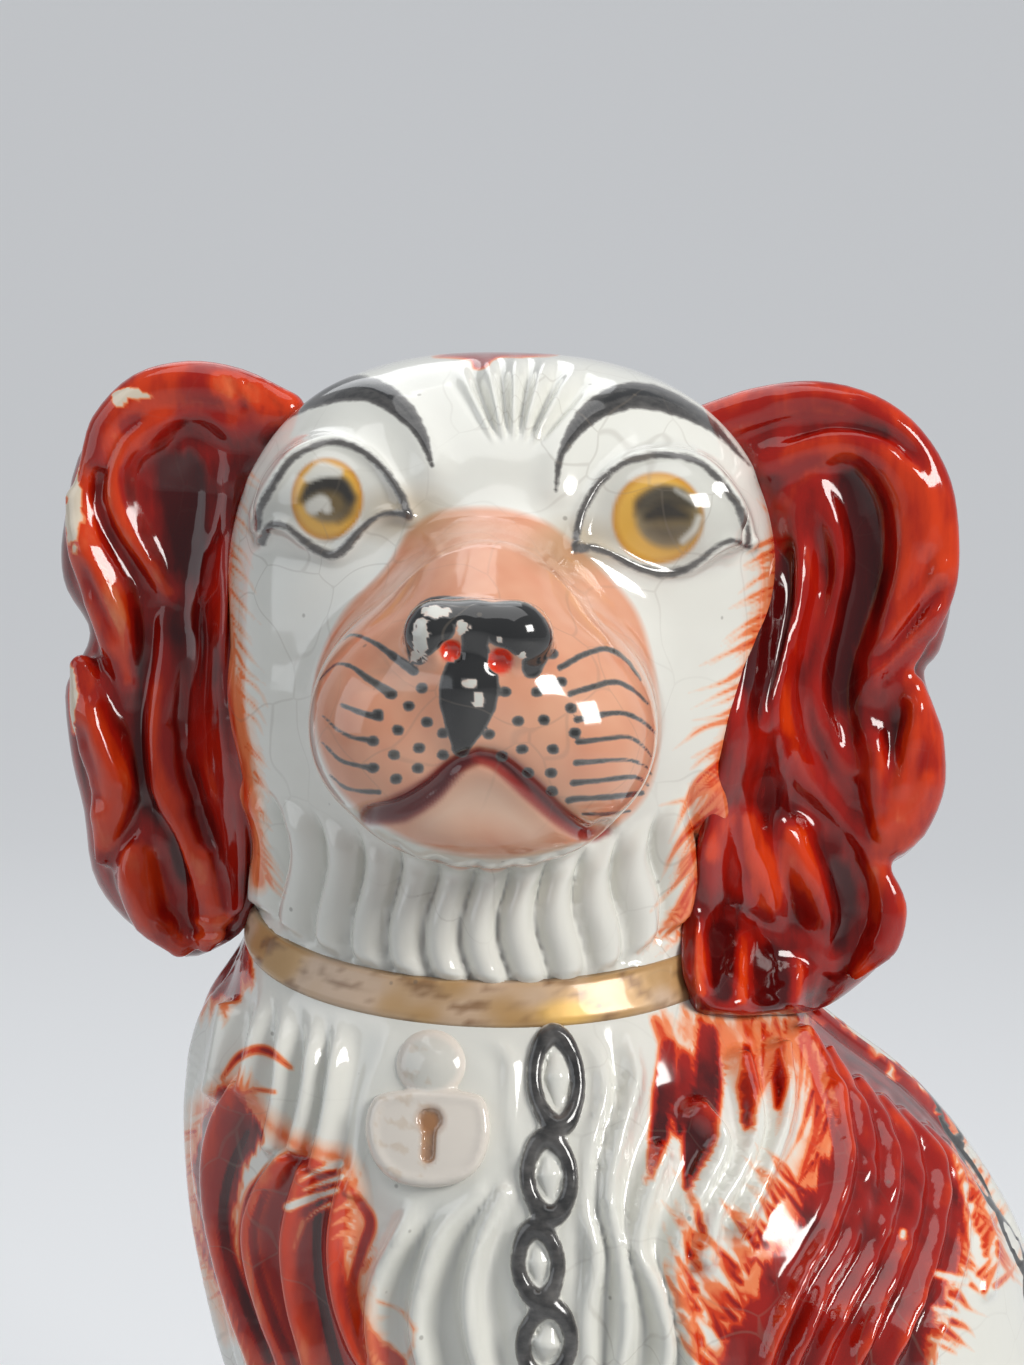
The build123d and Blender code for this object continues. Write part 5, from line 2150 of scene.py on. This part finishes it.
@dataclass
class Studio:
    """Pale paper that bends up behind the figure, soft lamps and the world.

    Lengths are metres. Lamps are (name, place, side, watts, colour).
    """

    floor_half: float = 3.0
    bend: float = 1.6
    bends: int = 12
    top: float = 4.0
    paper: Tint = (0.46, 0.465, 0.47, 1.0)
    paper_rough: float = 0.75
    paper_grain: float = 400.0
    paper_bump: float = 0.02
    glow_tint: Tint = (0.95, 0.97, 1.0, 1.0)
    glow: float = 0.42
    sky_tint: Tint = (0.80, 0.84, 0.90, 1.0)
    sky: float = 0.30
    sky_shown: float = 0.40
    aim: Place = (-0.02, 0.0, 0.24)
    lamps: tuple[tuple[str, Place, float, float, Tint], ...] = (
        ("window_right", (0.80, -0.62, 0.80), 0.42, 11.0, (1.0, 0.98, 0.95)),
        ("window_left", (-0.90, -0.35, 0.55), 0.75, 2.4, (0.92, 0.96, 1.0)),
        ("top_soft", (-0.1, -0.1, 1.15), 0.80, 3.1, (1.0, 1.0, 1.0)),
        ("back_soft", (-0.35, 0.95, 1.45), 0.90, 3.5, (0.96, 0.98, 1.0)))

    def build(self) -> None:
        """Make the floor, the world and the lamps."""
        floor = bpy.data.objects.new("floor", self.floor_mesh())
        bpy.context.collection.objects.link(floor)
        world = bpy.data.worlds.new("studio")
        world.use_nodes = True
        wiring = Wiring(world.node_tree)
        wiring.feed(world.node_tree.nodes["Background"], {
            "Color": self.sky_tint, "Strength": self.shown(wiring, self.sky, self.sky_shown)})
        bpy.context.scene.world = world
        for lamp in self.lamps:
            self.lamp(*lamp)

    def floor_mesh(self) -> bpy.types.Mesh:
        """The paper: flat under the figure, bent up behind it.

        Returns:
            The mesh, with its material.
        """
        half, places = self.floor_half, []
        turns = [math.pi / 2 * step / self.bends for step in range(self.bends + 1)]
        run = [(half * 0.5 + self.bend * math.sin(turn), self.bend * (1 - math.cos(turn)))
               for turn in turns]
        for y, z in [(-half, 0.0)] + run + [(run[-1][0], self.top)]:
            places += [(-half * 2, y, z), (half * 2, y, z)]
        faces = [(row, row + 1, row + 3, row + 2) for row in range(0, len(places) - 2, 2)]
        mesh = bpy.data.meshes.new("floor")
        mesh.from_pydata(places, [], faces)
        mesh.polygons.foreach_set("use_smooth", np.ones(len(mesh.polygons), bool))
        made = bpy.data.materials.new("pale_paper")
        made.use_nodes = True
        wiring = Wiring(made.node_tree)
        grain = wiring.add("TexNoise", {"Scale": self.paper_grain}).outputs["Fac"]
        bump = wiring.add("Bump", {"Strength": self.paper_bump, "Height": grain})
        wiring.feed(made.node_tree.nodes["Principled BSDF"], {
            "Base Color": self.paper, "Roughness": self.paper_rough,
            "Normal": bump.outputs["Normal"], "Emission Color": self.glow_tint,
            "Emission Strength": self.shown(wiring, 0.0, self.glow)})
        mesh.materials.append(made)
        return mesh

    def shown(self, wiring: Wiring, lit: float, seen: float) -> bpy.types.NodeSocket:
        """Give one strength to rays that light the figure and another to rays that show the stage.

        Args:
            wiring: the nodes to add to.
            lit: the strength for diffuse light.
            seen: the strength for camera, glossy and transmission rays.

        Returns:
            The socket that carries the strength.
        """
        path = wiring.add("LightPath", {}).outputs
        share = path["Is Camera Ray"]
        for kind in ("Is Glossy Ray", "Is Transmission Ray"):
            share = wiring.maths("MAXIMUM", share, path[kind])
        return wiring.maths("MULTIPLY_ADD", share, seen - lit, lit)

    def lamp(self, name: str, place: Place, size: float, power: float, tint: Tint) -> None:
        """Add one soft square lamp aimed at the figure.

        Args:
            name: the lamp's name.
            place: where it hangs.
            size: its side.
            power: its strength in watts.
            tint: its colour.
        """
        data = bpy.data.lights.new(name, "AREA")
        data.size, data.energy, data.color = size, power, tint
        lamp = bpy.data.objects.new(name, data)
        away = np.array(place) - np.array(self.aim)
        back = away / np.linalg.norm(away)
        right = np.cross([0.0, 0.0, 1.0], back)
        right = right / np.linalg.norm(right)
        lamp.matrix_world = seat((right, np.cross(back, right), back), place)
        bpy.context.collection.objects.link(lamp)


LEFT_EAR = Ear(
    "left_ear",
    outline=((690, 440), (712, 415), (761, 392), (812, 385), (863, 396), (904, 423), (936, 464),
             (950, 512), (953, 563), (950, 611), (939, 652), (924, 672), (932, 706), (937, 762),
             (931, 813), (910, 849), (888, 870), (898, 900), (895, 928), (882, 961), (859, 984),
             (826, 1007), (793, 1014), (742, 1016), (694, 1014), (682, 971), (679, 936), (690, 880),
             (700, 816), (713, 767), (725, 710), (740, 657), (754, 600), (752, 540), (720, 480)),
    locks=(
        (((700, 428), (760, 408), (815, 400), (868, 412), (908, 442), (934, 485), (942, 540),
          (938, 590), (915, 640), (885, 680), (858, 712)),
         (40, 40, 36, 34, 34, 32, 32, 32, 30, 26, 10)),
        (((765, 462), (805, 448), (845, 442), (886, 460), (908, 500), (908, 550), (893, 605),
          (872, 655), (851, 708)), (36, 42, 46, 46, 44, 42, 36, 30, 10)),
        (((812, 486), (836, 530), (844, 572), (834, 615), (820, 655), (816, 692), (826, 732),
          (846, 768), (864, 804)), (16, 28, 30, 30, 30, 30, 30, 24, 8)),
        (((800, 504), (799, 555), (804, 602), (794, 652), (785, 702), (794, 748), (816, 790),
          (842, 822)), (20, 28, 28, 30, 32, 32, 26, 8)),
        (((912, 690), (920, 740), (918, 790), (898, 832), (872, 856)), (26, 44, 48, 44, 20)),
        (((862, 728), (878, 770), (880, 810), (862, 838)), (26, 44, 46, 26)),
        (((880, 872), (889, 905), (882, 940), (856, 974)), (20, 34, 34, 12)),
    ),
    bellies=((772, 862, 68, 60, 3.4), (745, 968, 58, 44, 1.0), (892, 775, 40, 80, 1.6)),
    folds=(
        (((848, 474), (864, 515), (868, 565), (856, 618), (845, 665), (842, 705), (850, 735)),
         (24, 36, 38, 34, 28, 22, 8)),
        (((696, 910), (742, 920), (776, 942), (812, 968), (856, 986)), (6, 10, 10, 9, 6)),
        (((735, 776), (775, 790), (815, 816), (850, 852)), (8, 11, 11, 9)),
        (((851, 872), (858, 920), (838, 956)), (12, 20, 10)),
    ),
    crests=(
        (((768, 446), (808, 428), (850, 424), (892, 436), (918, 462), (930, 490)), 6.0, -1.2),
        (((948, 552), (928, 586), (900, 624), (874, 660)), 8.0, 1.1),
        (((948, 574), (922, 608), (890, 646), (868, 672)), 7.0, -0.9),
        (((946, 598), (918, 630), (884, 666), (862, 694)), 8.0, 1.0),
        (((936, 634), (906, 660), (876, 688)), 7.0, -0.8),
        (((905, 450), (924, 480), (930, 520), (926, 565)), 10.0, 0.8),
        (((822, 522), (823, 580), (812, 630), (800, 676), (804, 722), (828, 780)), 8.0, -1.2),
        (((786, 520), (782, 590), (770, 650), (757, 702), (756, 745)), 12.0, -1.6),
        (((920, 686), (916, 720), (906, 760), (896, 805)), 9.0, 1.1),
        (((906, 700), (892, 740), (888, 790), (884, 835)), 9.0, -1.1),
        (((868, 722), (882, 770), (886, 815), (868, 852)), 11.0, 0.9),
        (((850, 772), (862, 812), (872, 850)), 8.0, -0.8),
        (((746, 794), (755, 840), (767, 880), (776, 925)), 13.0, 1.5),
        (((784, 812), (801, 860), (816, 890), (830, 938)), 13.0, 1.5),
        (((768, 800), (778, 860), (790, 904), (804, 950)), 10.0, -1.2),
        (((728, 785), (734, 840), (744, 900)), 10.0, -0.9),
        (((814, 822), (838, 880), (844, 922), (830, 965)), 10.0, -1.3),
        (((707, 905), (702, 950), (704, 1008)), 7.0, 1.1),
        (((724, 918), (722, 962), (722, 1010)), 13.0, -1.2),
        (((750, 926), (745, 966), (743, 1012)), 7.0, 1.1),
        (((774, 944), (771, 975), (768, 1010)), 14.0, -1.2),
        (((802, 958), (798, 982), (790, 1010)), 8.0, 1.0),
        (((830, 972), (824, 992), (812, 1010)), 10.0, -0.8),
        (((760, 402), (812, 394), (862, 406)), 7.0, 0.6),
    ),
    tints_and_shading=((((700, 929), (704, 990)), 5.0, 0.26), (((742, 937), (740, 997)), 5.0, 0.26),
           (((799, 959), (797, 1005)), 6.0, 0.22), (((719, 937), (719, 997)), 9.0, -0.22),
           (((772, 959), (770, 1008)), 13.0, -0.22),
           (((852, 483), (870, 529), (863, 582), (844, 642), (844, 695)), 14.0, -0.22),
           (((791, 548), (768, 616), (753, 680)), 10.0, -0.14),
           (((806, 548), (821, 597), (791, 672), (787, 729)), 9.0, 0.10),
           (((852, 457), (806, 476), (787, 502)), 9.0, 0.18), (((904, 816), (927, 778)), 8.0, 0.16),
           (((874, 872), (870, 918)), 9.0, 0.18), (((727, 816), (712, 854)), 10.0, 0.20),
           (((700, 440), (760, 410), (830, 400), (890, 430)), 12.0, -0.10)),
)

RIGHT_EAR = Ear(
    "right_ear",
    outline=((330, 440), (283, 398), (235, 379), (193, 370), (145, 378), (113, 400), (78, 458),
             (65, 518), (61, 557), (67, 590), (88, 624), (87, 646), (72, 672), (65, 697), (72, 760),
             (84, 811), (92, 870), (114, 908), (148, 937), (186, 957), (221, 946), (246, 926),
             (258, 890), (261, 840), (258, 790), (248, 740), (243, 700), (239, 640), (240, 580),
             (256, 520), (300, 480)),
    locks=(
        (((285, 412), (235, 392), (190, 386), (146, 396), (112, 428), (88, 478)),
         (40, 46, 48, 46, 42, 22)),
        (((262, 424), (215, 426), (180, 424), (145, 430), (120, 458), (115, 494), (126, 532),
          (148, 566), (172, 600)), (30, 32, 34, 40, 42, 42, 40, 34, 10)),
        (((80, 500), (90, 545), (108, 590), (122, 640), (131, 697)), (28, 46, 52, 44, 8)),
        (((158, 600), (169, 640), (166, 690), (158, 735), (162, 780), (182, 825), (203, 875),
          (212, 922), (206, 944)), (10, 26, 32, 36, 42, 46, 48, 38, 16)),
        (((226, 480), (219, 545), (213, 612), (208, 670), (208, 730), (218, 790), (231, 850),
          (236, 905)), (18, 24, 26, 28, 30, 32, 30, 14)),
        (((82, 667), (92, 705), (104, 745), (116, 783), (112, 823), (102, 858)),
         (24, 44, 52, 54, 44, 14)),
        (((148, 814), (138, 846), (142, 884), (156, 916), (180, 944)), (10, 36, 46, 46, 26)),
    ),
    folds=(
        (((192, 452), (188, 490), (186, 532), (190, 575)), (60, 76, 70, 40)),
        (((96, 478), (108, 527), (138, 574), (156, 606)), (8, 12, 12, 8)),
        (((150, 612), (146, 650), (138, 700), (139, 750), (146, 800)), (7, 10, 11, 11, 8)),
        (((148, 806), (170, 836), (182, 872), (184, 905), (180, 930)), (7, 10, 11, 10, 6)),
        (((140, 814), (122, 848), (108, 872)), (6, 9, 7)),
    ),
    crests=(
        (((176, 478), (186, 446), (204, 458), (208, 500), (200, 560)), 8.0, 0.6),
        (((196, 586), (197, 650), (186, 706), (186, 762), (204, 818), (222, 876), (228, 944)),
         9.0, -1.0),
        (((150, 410), (118, 436), (100, 478), (98, 512)), 6.0, -1.2),
        (((70, 508), (88, 560), (112, 604), (134, 640)), 8.0, 0.8),
        (((78, 552), (98, 600), (118, 640), (130, 690)), 8.0, -0.8),
        (((84, 690), (98, 740), (118, 784), (126, 806)), 9.0, 0.9),
        (((78, 720), (92, 775), (102, 815)), 8.0, -0.7),
        (((128, 824), (126, 866), (140, 905), (166, 940)), 9.0, 0.8),
        (((160, 842), (166, 880), (168, 925)), 9.0, -0.8),
        (((176, 720), (178, 770), (192, 815)), 10.0, 0.8),
        (((205, 840), (216, 880), (218, 925)), 10.0, 0.8),
        (((240, 378), (258, 398), (268, 414)), 5.0, -0.6),
        (((222, 374), (238, 396), (246, 414)), 5.0, -0.6),
        (((256, 382), (272, 402), (282, 416)), 5.0, -0.6),
        (((190, 918), (214, 924), (240, 914)), 5.0, 0.7),
        (((188, 936), (210, 940), (232, 932)), 5.0, 0.7),
    ),
    chips=((128, 394, 19, 6), (73, 506, 8, 42), (70, 698, 7, 34), (120, 402, 9, 5)),
    tints_and_shading=((((116, 437), (108, 475), (119, 520), (146, 562), (168, 592)), 9.0, 0.30),
           (((221, 384), (252, 393), (282, 399)), 10.0, 0.32),
           (((85, 509), (97, 562), (116, 622), (129, 682)), 8.0, 0.20),
           (((153, 690), (153, 747), (172, 822), (199, 879)), 9.0, 0.14),
           (((112, 777), (104, 837)), 12.0, 0.22), (((153, 852), (168, 898)), 8.0, 0.15),
           (((206, 928), (225, 920)), 8.0, 0.28),
           (((134, 614), (142, 690), (142, 784), (165, 826), (187, 879)), 8.0, -0.16),
           (((170, 470), (190, 520), (205, 620), (212, 720)), 16.0, -0.12),
           (((124, 470), (134, 520), (152, 556)), 6.0, -0.10)),
)

def foreleg(name: str, y: float, red: tuple[float, float] = (0.0, 0.0)) -> Limb:
    """A foreleg with its paw.

    Args:
        name: the piece and the solid that it stands for.
        y: how far it stands from the figure's middle plane.
        red: heights between which it is painted red.

    Returns:
        The limb.
    """
    line = [(x, y, z) for x, z in ((-68, 2), (-66, 30), (-65, 75), (-60, 112), (-48, 146))]
    paw = ((-77.5, y, 10.5), (21, 16, 13))
    return Limb(name, line, (13.8, 12.6, 14.5, 18.0, 20.0), paw, red=red)


LIMBS = (
    foreleg("left_foreleg", -31, (96.0, 170.0)),
    foreleg("right_foreleg", 31),
    Limb("tail", ((107, -3, 18), (110, -10, 42), (107, -18, 70), (93, -25, 96), (73, -25, 120),
                  (62, -14, 136)), (10.0, 11.0, 10.2, 8.6, 6.4, 3.0), strands=7, red=(66.0, 118.0)),
)


def main() -> None:
    """Build the figure's pieces in order, then the studio."""
    logging.basicConfig(level=logging.INFO, format="%(name)s: %(message)s")
    bpy.context.scene.view_settings.view_transform = "Standard"
    CAMERA.build()
    body_glaze = Glaze("body_glaze")
    slab_glaze = Glaze("slab_glaze", rough=0.35, uneven=0.3)
    ear_glaze = Glaze("ear_glaze", rough=0.08, crazing=0.03, specks=0.15, coat=0.12, shine=0.42)
    gilding = Glaze("gilding", rough=0.30, worn_rough=0.42, metallic=0.22, crazing=0.1, uneven=0.3)
    torso = Torso()
    torso.build(body_glaze, slab_glaze)
    for ear in (LEFT_EAR, RIGHT_EAR):
        ear.build(torso, ear_glaze)
    for limb in LIMBS:
        limb.build(body_glaze)
    Collar().build(torso, gilding)
    Padlock().build(torso, Glaze("sprig_glaze", specks=0.3))
    Chain().build(torso, Glaze("black_enamel", rough=0.16, crazing=0.1, specks=0.2))
    Studio().build()


if __name__ == "__main__":
    main()
